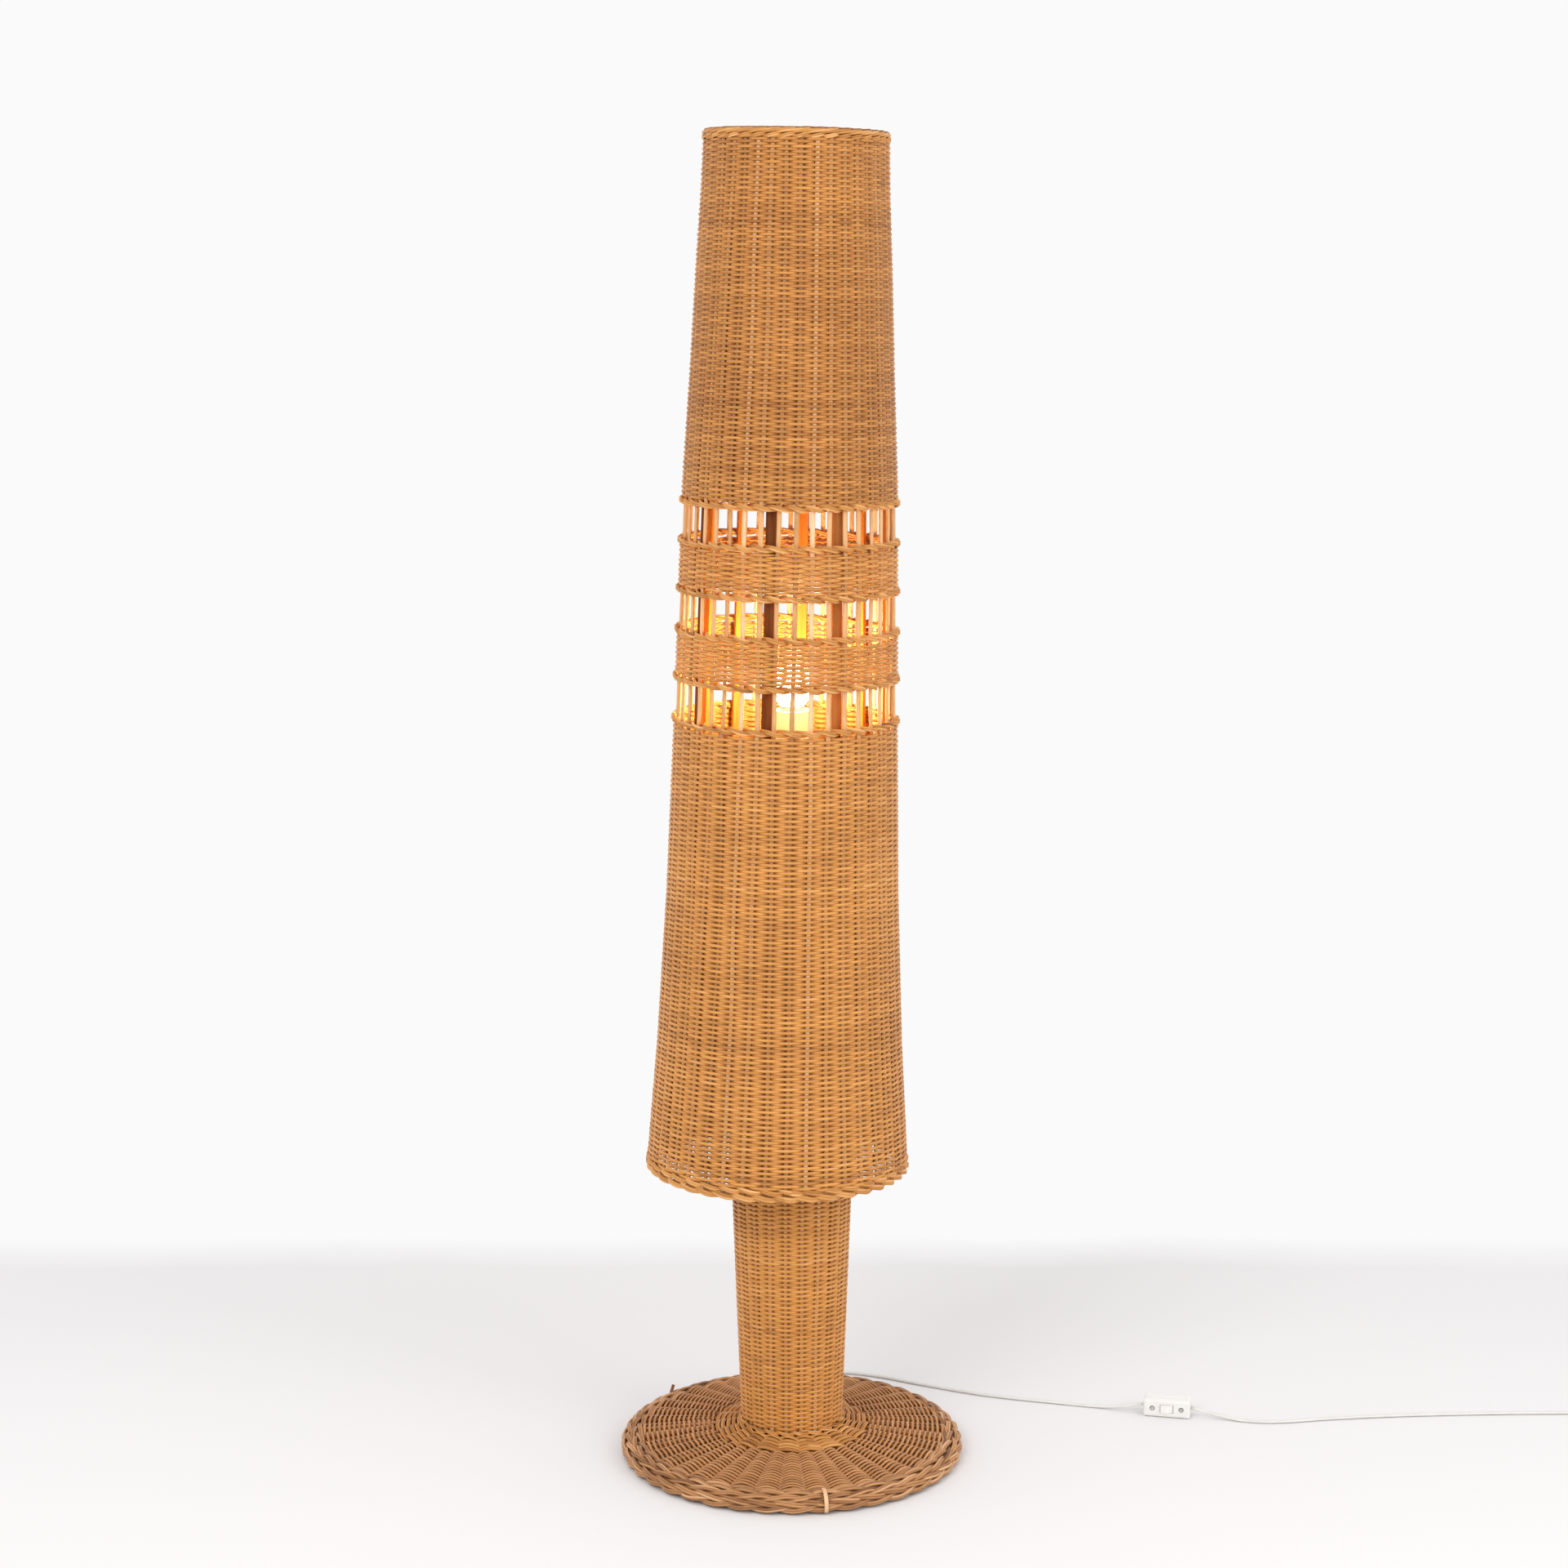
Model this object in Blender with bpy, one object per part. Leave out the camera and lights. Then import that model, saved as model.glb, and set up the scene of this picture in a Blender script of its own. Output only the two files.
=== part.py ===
"""Wicker floor lamp: round woven foot, woven column and a tall woven shade with three open bands.

Metres, +Z up. The origin is on the floor under the middle of the foot. The shade is modelled upright
under an empty that leans it. -Y is the front, and the mains cord leaves the foot at the back.
"""

import math

import bmesh
import bpy
from mathutils import Vector

# Driving dimensions
GAP = 0.0004
WALL_SIDES = 32
RING_SIDES = 24
SMALL_SIDES = 16

SHADE_LEAN = math.radians(1.056)
LEAN_CROSSES_AXIS_AT = 1.163
SHADE_OUTLINE = (
    (0.333, 0.1380),
    (0.373, 0.1354),
    (0.455, 0.1296),
    (0.617, 0.1218),
    (0.786, 0.1169),
    (0.954, 0.1132),
    (1.047, 0.1108),
    (1.154, 0.1050),
    (1.261, 0.1002),
    (1.342, 0.0958),
    (1.399, 0.0940),
)
SHADE_WALL = 0.0052
STAKE_DEPTH = 0.0041
FRAME_DEPTH = 0.0093
SHADE_TOP = 1.3990
SHADE_BOTTOM = 0.3190
BORDER_HEIGHT = 0.0095
BOTTOM_BORDER_HEIGHT = 0.0125
ROPE_HEIGHTS = (1.027, 0.986, 0.936, 0.894, 0.845, 0.801)
ROPE_HALF_HEIGHT = 0.0034
ROPE_PROUD = 0.0024
ROPE_DEPTH = 0.0082
STAKE_COUNT = 39
STAKE_WIDTH = 0.0042
STAKE_FIRST = math.radians(3.5)
FRAME_THICKNESS = 0.0036
HOOP_THICKNESS = 0.0030
HOOP_CLEARANCE = 0.0006
UPRIGHT_WIDTH = 0.0115
UPRIGHT_BEARINGS = (-150.5, -128.4, -58.0, -10.4, 28.5, 78.0, 130.7, 171.4)
HOOP_BOTTOM = (0.340, 0.352)
HOOP_TOP = (1.366, 1.378)
RIM_WIDTH = 0.010

COLUMN_FOOT = (0.0336, 0.0544)
COLUMN_TOP = (0.5996, 0.0751)
COLUMN_WALL = 0.0052
DISC_THICKNESS = 0.010
HUB_RADII = (0.044, 0.062)
HUB_HEIGHT = 0.6116
HUB_THICKNESS = 0.006
ARM_COUNT = 4
ARM_WIDTH = 0.014

FELT_RADIUS = 0.164
FELT_THICKNESS = 0.0015
BOARD_RADIUS = 0.158
BOARD_THICKNESS = 0.0080
WEIGHT_RADIUS = 0.100
WEIGHT_THICKNESS = 0.0102
BOSS_RADIUS = 0.044
BOSS_TOP = 0.0332
RECESS_RADIUS = 0.020
RECESS_TOP = 0.0245
SLOT_WIDTH = 0.016
FOOT_RADIUS = 0.1870
COVER_RADII = (0.0560, 0.1655)
COVER_HEIGHTS = (0.0330, 0.0205)
COVER_WALL = 0.0058

TUBE_RADIUS = 0.005
TUBE_BORE = 0.0036
TUBE_ENDS = (0.0176, 0.7555)
TUBE_HOLE = 0.0055
NUT_RADIUS = 0.0085
NUT_HEIGHT = 0.0048

HOLDER_RADIUS = 0.0200
HOLDER_BORE = 0.0143
HOLDER_HEIGHTS = (0.7505, 0.7755, 0.8095)
BULB_RADIUS = 0.0225
BULB_CENTRE = 0.8345
BULB_NECK = 0.0135
# How far the round part of the glass runs, from the top down to where the neck starts
BULB_SWEEP = math.radians(143)
BULB_CAP_HEIGHTS = (0.7885, 0.8140)
BULB_CAP_RADIUS = 0.0131
GLASS_THICKNESS = 0.0010
CAP_THICKNESS = 0.0008

CORD_WIDTH = 0.0054
CORD_POINT_SPACING = 0.0150
CORD_ON_FLOOR = 0.0028
CORD_EXIT = (0.0100, 0.1896, 0.0065)
SWITCH_CENTRE = (0.4200, 0.0980)
SWITCH_SIZE = (0.052, 0.022, 0.020)
SWITCH_YAW = math.radians(-12)
ROCKER_RADIUS = 0.0070
ROCKER_REST = math.radians(12)
SCREW_OFFSET = 0.0160
COIL_CENTRE = (0.9400, 0.1345)
COIL_RADII = (0.0185, 0.0360)
COIL_HEIGHT = 0.0090
PLUG_BACK = (0.9727, 0.1753)
PLUG_SIZE = (0.0353, 0.0360, 0.0137)
PIN_RADIUS = 0.0020
PIN_LENGTH = 0.0190
PIN_SPACING = 0.0186

# The stretches of cord that lie free, each point set by hand
ROUTE_TO_SWITCH = (
    CORD_EXIT,
    (0.0140, 0.2070, 0.0036),
    (0.0300, 0.2210, CORD_ON_FLOOR),
    (0.0560, 0.2255, CORD_ON_FLOOR),
    (0.0850, 0.2190, CORD_ON_FLOOR),
    (0.1150, 0.2060, CORD_ON_FLOOR),
    (0.1490, 0.1875, CORD_ON_FLOOR),
    (0.2080, 0.1590, CORD_ON_FLOOR),
    (0.2500, 0.1440, CORD_ON_FLOOR),
    (0.2960, 0.1310, CORD_ON_FLOOR),
    (0.3400, 0.1190, CORD_ON_FLOOR),
    (0.3700, 0.1095, 0.0058),
    (0.3942, 0.1035, 0.0100),
)
ROUTE_TO_COIL = (
    (0.4458, 0.0925, 0.0100),
    (0.4700, 0.0860, 0.0058),
    (0.4980, 0.0770, CORD_ON_FLOOR),
    (0.5250, 0.0718, CORD_ON_FLOOR),
    (0.5550, 0.0738, CORD_ON_FLOOR),
    (0.5880, 0.0800, CORD_ON_FLOOR),
    (0.6500, 0.0885, CORD_ON_FLOOR),
    (0.7080, 0.0935, CORD_ON_FLOOR),
    (0.7900, 0.0978, CORD_ON_FLOOR),
    (0.8680, 0.0992, CORD_ON_FLOOR),
    (0.9240, 0.0992, CORD_ON_FLOOR),
)
ROUTE_TO_PLUG = (
    (0.9727, 0.1550, 0.0048),
    (0.9727, 0.1650, 0.0062),
    (0.9727, 0.1750, 0.0069),
)
ROUTE_INSIDE = (
    (0.0, 0.0, 0.7495),
    (0.0, 0.0, 0.4800),
    (0.0, 0.0, 0.2400),
    (0.0, 0.0, 0.0700),
    (0.0, 0.0, 0.0300),
    (0.0, 0.0, 0.0165),
    (0.0, 0.0032, 0.0094),
    (0.0, 0.0105, 0.0064),
    (0.0, 0.0240, 0.0060),
    (0.0, 0.0800, 0.0060),
    (0.0040, 0.1400, 0.0062),
    (0.0070, 0.1560, 0.0065),
)
LEAD_RADIUS = 0.0021


def clear_scene():
    for old in list(bpy.data.objects):
        bpy.data.objects.remove(old, do_unlink=True)


def material(name, colour, roughness, metallic=0.0, alpha=1.0):
    """One Principled material, in the part's own colour."""
    made = bpy.data.materials.new(name)
    made.use_nodes = True
    shader = made.node_tree.nodes["Principled BSDF"]
    shader.inputs["Base Color"].default_value = (*colour, 1.0)
    shader.inputs["Roughness"].default_value = roughness
    shader.inputs["Metallic"].default_value = metallic
    shader.inputs["Alpha"].default_value = alpha
    return made


def finish(mesh_builder, name, finish_material, parent=None, location=(0, 0, 0), helper=False):
    """Turns a bmesh into a named object with its faces pointing out."""
    bmesh.ops.remove_doubles(mesh_builder, verts=mesh_builder.verts, dist=1e-6)
    bmesh.ops.recalc_face_normals(mesh_builder, faces=mesh_builder.faces)
    mesh = bpy.data.meshes.new(name)
    mesh_builder.to_mesh(mesh)
    mesh_builder.free()
    mesh.shade_smooth()
    mesh.set_sharp_from_angle(angle=math.radians(35))
    thing = bpy.data.objects.new(name, mesh)
    bpy.context.scene.collection.objects.link(thing)
    thing.location = location
    if parent:
        thing.parent = parent
    if helper:
        thing.hide_render = True
        thing.display_type = "WIRE"
    else:
        mesh.materials.append(finish_material)
    return thing


def turned(name, outline, sides, finish_material, **options):
    """A turned piece from (radius, height) points, which close up unless both ends are on the axis."""
    builder = bmesh.new()
    points = [builder.verts.new((radius, 0, height)) for radius, height in outline]
    edges = [builder.edges.new(pair) for pair in zip(points, points[1:])]
    on_axis = outline[0][0] == 0 and outline[-1][0] == 0
    if not on_axis:
        edges.append(builder.edges.new((points[-1], points[0])))
    bmesh.ops.spin(
        builder,
        geom=points + edges,
        cent=(0, 0, 0),
        axis=(0, 0, 1),
        angle=math.tau,
        steps=sides,
        use_merge=True,
    )
    return finish(builder, name, finish_material, **options)


def ring(name, radii, heights, sides, finish_material, **options):
    """A flat ring or a tube with square edges."""
    outline = [
        (radii[1], heights[1]),
        (radii[1], heights[0]),
        (radii[0], heights[0]),
        (radii[0], heights[1]),
    ]
    return turned(name, outline, sides, finish_material, **options)


def braid_ring(name, radii, heights, sides, finish_material, **options):
    """A ring with cut corners, for a twined rope or a braided border."""
    cut_out = 0.3 * (radii[1] - radii[0])
    cut_up = 0.3 * (heights[1] - heights[0])
    outline = [
        (radii[1], heights[0] + cut_up),
        (radii[1] - cut_out, heights[0]),
        (radii[0], heights[0]),
        (radii[0], heights[1]),
        (radii[1] - cut_out, heights[1]),
        (radii[1], heights[1] - cut_up),
    ]
    return turned(name, outline, sides, finish_material, **options)


def lattice(name, edges, levels, front, back, solid, finish_material, **options):
    """A sheet with openings, bent round the axis and given a thickness.

    edges are bearings round the axis and levels run across them. front and back give the point of
    each face of the sheet, and solid says which of the cells between edges and levels hold material.
    """
    builder = bmesh.new()
    columns, rows = len(edges), len(levels) - 1
    grid = {
        (side, i, j): builder.verts.new(place(edges[i], levels[j]))
        for side, place in enumerate((front, back))
        for i in range(columns)
        for j in range(rows + 1)
    }

    def filled(i, j):
        return 0 <= j < rows and solid(i % columns, j)

    for i in range(columns):
        after = (i + 1) % columns
        for j in range(rows):
            if not filled(i, j):
                continue
            for side in (0, 1):
                corners = [(i, j), (after, j), (after, j + 1), (i, j + 1)]
                builder.faces.new([grid[(side, *corner)] for corner in corners])
            borders = (
                ((i, j), (i, j + 1), filled(i - 1, j)),
                ((after, j), (after, j + 1), filled(i + 1, j)),
                ((i, j), (after, j), filled(i, j - 1)),
                ((i, j + 1), (after, j + 1), filled(i, j + 1)),
            )
            for start, end, joined in borders:
                if not joined:
                    corners = [(0, *start), (0, *end), (1, *end), (1, *start)]
                    builder.faces.new([grid[corner] for corner in corners])
    loose = [vert for vert in builder.verts if not vert.link_faces]
    bmesh.ops.delete(builder, geom=loose, context="VERTS")
    return finish(builder, name, finish_material, **options)


def box(name, size, finish_material, bevel=0.0, **options):
    """A block about its own origin, with rounded edges."""
    builder = bmesh.new()
    bmesh.ops.create_cube(builder, size=1.0)
    bmesh.ops.scale(builder, vec=size, verts=builder.verts)
    block = finish(builder, name, finish_material, **options)
    if bevel:
        rounding = block.modifiers.new("Rounded edges", "BEVEL")
        rounding.width = bevel
        rounding.segments = 2
    return block


def cut(target, cutter):
    removal = target.modifiers.new(f"Cut {cutter.name}", "BOOLEAN")
    removal.operation = "DIFFERENCE"
    removal.object = cutter


def between(points, position):
    """Straight-line reading of a table of (position, value) pairs."""
    for (start, first), (end, last) in zip(points, points[1:]):
        if position <= end:
            share = max(0.0, (position - start) / (end - start))
            return first + share * (last - first)
    return points[-1][1]


def shade_radius(height):
    return between(SHADE_OUTLINE, height)


def polar(radius, bearing, height):
    """A point at a bearing from the front, positive to the right as seen from the front."""
    return (radius * math.sin(bearing), -radius * math.cos(bearing), height)


def woven_wall(name, heights, finish_material, **options):
    """A length of the shade's woven wall, following its outline."""
    low, high = heights
    inner_levels = [height for height, _ in SHADE_OUTLINE if low + 0.02 < height < high - 0.02]
    levels = [low, *inner_levels, high]
    outer = [(shade_radius(height), height) for height in reversed(levels)]
    inner = [(shade_radius(height) - SHADE_WALL, height) for height in levels]
    return turned(name, outer + inner, WALL_SIDES, finish_material, **options)


def stake_crown(name, heights, finish_material, **options):
    """The bare stakes of one open band, which hang from a thin ring at their top."""
    low, high = heights
    middle = shade_radius(0.5 * (low + high)) - STAKE_DEPTH
    half_turn = 0.5 * STAKE_WIDTH / middle
    edges = []
    for number in range(STAKE_COUNT):
        bearing = STAKE_FIRST + number * math.tau / STAKE_COUNT
        edges += [bearing - half_turn, bearing + half_turn]
    levels = [low, high - 0.0025, high]

    def outer_face(bearing, height):
        return polar(shade_radius(height) - STAKE_DEPTH + 0.5 * STAKE_WIDTH, bearing, height)

    def inner_face(bearing, height):
        return polar(shade_radius(height) - STAKE_DEPTH - 0.5 * STAKE_WIDTH, bearing, height)

    def is_stake_or_ring(column, row):
        return row == 1 or column % 2 == 0

    return lattice(
        name, edges, levels, outer_face, inner_face, is_stake_or_ring, finish_material, **options
    )


def shade_frame(finish_material, parent):
    """Flat uprights inside the woven wall, and the hoops that hold their ends from within."""
    half_turn = 0.5 * UPRIGHT_WIDTH / 0.108
    levels = [HOOP_BOTTOM[0], 0.455, 0.6145, 0.786, 1.047, 1.2, HOOP_TOP[1]]

    def outer_face(bearing, height):
        return polar(shade_radius(height) - FRAME_DEPTH, bearing, height)

    def inner_face(bearing, height):
        return polar(shade_radius(height) - FRAME_DEPTH - FRAME_THICKNESS, bearing, height)

    def is_upright(column, row):
        return column == 0

    for number, degrees in enumerate(UPRIGHT_BEARINGS, start=1):
        bearing = math.radians(degrees)
        edges = [bearing - half_turn, bearing + half_turn]
        lattice(
            f"shade_upright_{number}", edges, levels, outer_face, inner_face, is_upright,
            finish_material, parent=parent,
        )
    for name, heights in (("hoop_bottom", HOOP_BOTTOM), ("hoop_top", HOOP_TOP)):
        outer = hoop_outer_radius(heights[1])
        ring(name, (outer - HOOP_THICKNESS, outer), heights, WALL_SIDES, finish_material, parent=parent)


def hoop_outer_radius(height):
    return shade_radius(height) - FRAME_DEPTH - FRAME_THICKNESS - HOOP_CLEARANCE


def shade_spider(finish_material, parent):
    """A wheel inside the shade. Its hub rests on the column's top disc and its rim holds the uprights."""
    rim = hoop_outer_radius(HUB_HEIGHT + HUB_THICKNESS)
    levels = [*HUB_RADII, rim - RIM_WIDTH, rim]
    half_turn = 0.5 * ARM_WIDTH / 0.080
    edges, arm_columns = [], set()
    for number in range(ARM_COUNT):
        bearing = math.radians(45) + number * math.tau / ARM_COUNT
        end = bearing + math.tau / ARM_COUNT - half_turn
        arm_columns.add(len(edges))
        edges += [bearing - half_turn, bearing + half_turn]
        start = bearing + half_turn
        edges += [start + (end - start) * step / 6 for step in range(1, 6)]

    def upper_face(bearing, radius):
        return polar(radius, bearing, HUB_HEIGHT + HUB_THICKNESS)

    def lower_face(bearing, radius):
        return polar(radius, bearing, HUB_HEIGHT)

    def is_wheel(column, row):
        return row != 1 or column in arm_columns

    return lattice(
        "shade_spider", edges, levels, upper_face, lower_face, is_wheel, finish_material, parent=parent
    )


def leaning_empty():
    """The frame that the shade is modelled in. It leans to the right about a point on the axis."""
    empty = bpy.data.objects.new("shade_axis", None)
    bpy.context.scene.collection.objects.link(empty)
    height = LEAN_CROSSES_AXIS_AT
    empty.location = (
        -height * math.sin(SHADE_LEAN),
        0,
        height * (1 - math.cos(SHADE_LEAN)),
    )
    empty.rotation_euler = (0, SHADE_LEAN, 0)
    return empty


def make_shade(wicker, rope, wood):
    axis = leaning_empty()
    clear = ROPE_HALF_HEIGHT + GAP
    tops = [height - clear for height in ROPE_HEIGHTS]
    bottoms = [height + clear for height in ROPE_HEIGHTS]
    woven_wall(
        "weave_top", (bottoms[0], SHADE_TOP - BORDER_HEIGHT - GAP), wicker, parent=axis
    )
    stake_crown("open_stakes_upper", (bottoms[1], tops[0]), wicker, parent=axis)
    woven_wall("weave_band_upper", (bottoms[2], tops[1]), wicker, parent=axis)
    stake_crown("open_stakes_middle", (bottoms[3], tops[2]), wicker, parent=axis)
    woven_wall("weave_band_lower", (bottoms[4], tops[3]), wicker, parent=axis)
    stake_crown("open_stakes_lower", (bottoms[5], tops[4]), wicker, parent=axis)
    skirt_start = SHADE_BOTTOM + BOTTOM_BORDER_HEIGHT + GAP
    woven_wall("weave_skirt", (skirt_start, tops[5]), wicker, parent=axis)
    for number, height in enumerate(ROPE_HEIGHTS, start=1):
        radius = shade_radius(height)
        braid_ring(
            f"twined_rope_{number}",
            (radius - ROPE_DEPTH, radius + ROPE_PROUD),
            (height - ROPE_HALF_HEIGHT, height + ROPE_HALF_HEIGHT),
            WALL_SIDES,
            rope,
            parent=axis,
        )
    top_radius = shade_radius(SHADE_TOP)
    braid_ring(
        "top_border",
        (top_radius - ROPE_DEPTH, top_radius + 0.001),
        (SHADE_TOP - BORDER_HEIGHT, SHADE_TOP),
        WALL_SIDES,
        rope,
        parent=axis,
    )
    braid_ring(
        "bottom_border",
        (0.1275, 0.1400),
        (SHADE_BOTTOM, SHADE_BOTTOM + BOTTOM_BORDER_HEIGHT),
        WALL_SIDES,
        rope,
        parent=axis,
    )
    shade_frame(wood, axis)
    shade_spider(wood, axis)


def make_foot(wicker, rope, wood, iron, felt):
    turned(
        "felt_pad",
        [(0, FELT_THICKNESS), (FELT_RADIUS, FELT_THICKNESS), (FELT_RADIUS, 0), (0, 0)],
        WALL_SIDES,
        felt,
    )
    bottom = FELT_THICKNESS + GAP
    board_top = bottom + BOARD_THICKNESS
    board = ring(
        "foot_board",
        (RECESS_RADIUS, BOARD_RADIUS),
        (bottom, board_top),
        WALL_SIDES,
        wood,
    )
    slot = box(
        "cord_slot",
        (SLOT_WIDTH, BOARD_RADIUS, 3 * BOARD_THICKNESS),
        None,
        location=(0.0035, 0.5 * BOARD_RADIUS + 0.010, bottom),
        helper=True,
    )
    cut(board, slot)
    weight_bottom = board_top + GAP
    weight_top = weight_bottom + WEIGHT_THICKNESS
    turned(
        "base_weight",
        [
            (BOSS_RADIUS, BOSS_TOP),
            (BOSS_RADIUS, weight_top),
            (WEIGHT_RADIUS, weight_top),
            (WEIGHT_RADIUS, weight_bottom),
            (RECESS_RADIUS, weight_bottom),
            (RECESS_RADIUS, RECESS_TOP),
            (TUBE_HOLE, RECESS_TOP),
            (TUBE_HOLE, BOSS_TOP),
        ],
        WALL_SIDES,
        iron,
    )
    inner, outer = COVER_RADII
    high, low = COVER_HEIGHTS
    turned(
        "base_cover",
        [
            (inner, high),
            (0.5 * (inner + outer), 0.56 * high + 0.44 * low),
            (outer, low),
            (outer, low - COVER_WALL),
            (0.5 * (inner + outer), 0.56 * high + 0.44 * low - COVER_WALL),
            (inner, high - COVER_WALL),
        ],
        WALL_SIDES,
        wicker,
    )
    turned(
        "base_border",
        [
            (0.1800, 0.0218),
            (FOOT_RADIUS, 0.0160),
            (FOOT_RADIUS, 0.0060),
            (0.1820, 0.0010),
            (0.1662, 0.0010),
            (0.1662, 0.0218),
        ],
        WALL_SIDES,
        rope,
    )
    braid_ring("foot_collar", (0.0553, 0.0622), (0.0336, 0.0410), WALL_SIDES, rope)


def make_column(wicker, rope, wood, steel):
    foot, top = COLUMN_FOOT, COLUMN_TOP
    middle = (0.5 * (foot[0] + top[0]), 0.5 * (foot[1] + top[1]))
    outline = [(radius, height) for height, radius in (top, middle, foot)]
    outline += [(radius - COLUMN_WALL, height) for height, radius in (foot, middle, top)]
    turned("column_weave", outline, WALL_SIDES, wicker)
    braid_ring(
        "column_top_rope",
        (top[1] + GAP, top[1] + 0.0048),
        (top[0] - 0.0080, top[0]),
        WALL_SIDES,
        rope,
    )
    foot_disc_bottom = BOSS_TOP + GAP
    ring(
        "foot_disc",
        (TUBE_HOLE, foot[1] - COLUMN_WALL - 0.0010),
        (foot_disc_bottom, foot_disc_bottom + DISC_THICKNESS),
        RING_SIDES,
        wood,
    )
    disc_bottom = top[0] + GAP
    disc_top = disc_bottom + DISC_THICKNESS
    ring("top_disc", (TUBE_HOLE, 0.0785), (disc_bottom, disc_top), RING_SIDES, wood)
    ring("stand_tube", (TUBE_BORE, TUBE_RADIUS), TUBE_ENDS, 12, steel)
    nut_heights = {
        "lock_nut_bottom": RECESS_TOP - GAP - NUT_HEIGHT,
        "lock_nut_top": disc_top + GAP,
    }
    for name, height in nut_heights.items():
        ring(name, (TUBE_HOLE + 0.0008, NUT_RADIUS), (height, height + NUT_HEIGHT), 6, steel)


def make_lampholder(bakelite, ceramic, brass):
    low, seam, high = HOLDER_HEIGHTS
    turned(
        "holder_cap",
        [
            (HOLDER_RADIUS, seam - GAP),
            (HOLDER_RADIUS, seam - 0.006),
            (0.0090, low),
            (TUBE_HOLE, low),
            (TUBE_HOLE, low + 0.010),
            (HOLDER_RADIUS - 0.003, seam - 0.005),
            (HOLDER_RADIUS - 0.003, seam - GAP),
        ],
        SMALL_SIDES,
        bakelite,
    )
    ring("holder_shell", (HOLDER_BORE, HOLDER_RADIUS), (seam, high), SMALL_SIDES, bakelite)
    turned(
        "holder_insert",
        [
            (0, seam + 0.0070),
            (HOLDER_BORE - GAP, seam + 0.0070),
            (HOLDER_BORE - GAP, seam + 0.0010),
            (0, seam + 0.0010),
        ],
        SMALL_SIDES,
        ceramic,
    )
    turned(
        "holder_contact",
        [
            (0, seam + 0.0102),
            (0.0030, seam + 0.0102),
            (0.0042, seam + 0.0070 + GAP),
            (0, seam + 0.0070 + GAP),
        ],
        8,
        brass,
    )


def make_bulb(glass, metal, solder):
    low, high = BULB_CAP_HEIGHTS

    def skin(radius, neck):
        steps = 8
        points = [(0, BULB_CENTRE + radius)]
        for step in range(1, steps + 1):
            tilt = 0.5 * math.pi - BULB_SWEEP * step / steps
            points.append((radius * math.cos(tilt), BULB_CENTRE + radius * math.sin(tilt)))
        return [*points, (neck, high + GAP)]

    outer = skin(BULB_RADIUS, BULB_NECK)
    inner = skin(BULB_RADIUS - GLASS_THICKNESS, BULB_NECK - GLASS_THICKNESS)
    turned("bulb_glass", outer + inner[::-1], SMALL_SIDES, glass)
    cap_bore = BULB_CAP_RADIUS - CAP_THICKNESS
    turned(
        "bulb_screw_cap",
        [
            (0, low + CAP_THICKNESS),
            (0.0075, low + CAP_THICKNESS),
            (cap_bore, low + 0.0045),
            (cap_bore, high),
            (BULB_CAP_RADIUS, high),
            (BULB_CAP_RADIUS, low + 0.004),
            (0.0080, low),
            (0, low),
        ],
        SMALL_SIDES,
        metal,
    )
    turned(
        "bulb_contact",
        [(0, low - GAP), (0.0050, low - GAP), (0.0030, low - 0.0024), (0, low - 0.0024)],
        8,
        solder,
    )


def switch_empty():
    """The switch's own frame: X along the cord, and -Y out of the face with the rocker."""
    empty = bpy.data.objects.new("switch_frame", None)
    bpy.context.scene.collection.objects.link(empty)
    empty.location = (*SWITCH_CENTRE, 0.5 * SWITCH_SIZE[2])
    empty.rotation_euler = (0, 0, SWITCH_YAW)
    return empty


def rocker_outline():
    """Half a disc with a low ridge across its face, turned to its rest position."""
    points = [Vector((0, -0.0018))]
    for step in range(7):
        angle = math.pi * step / 6
        points.append(Vector((ROCKER_RADIUS * math.cos(angle), ROCKER_RADIUS * math.sin(angle))))
    turn = math.cos(ROCKER_REST), math.sin(ROCKER_REST)
    return [(p.x * turn[0] - p.y * turn[1], p.x * turn[1] + p.y * turn[0]) for p in points]


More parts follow.
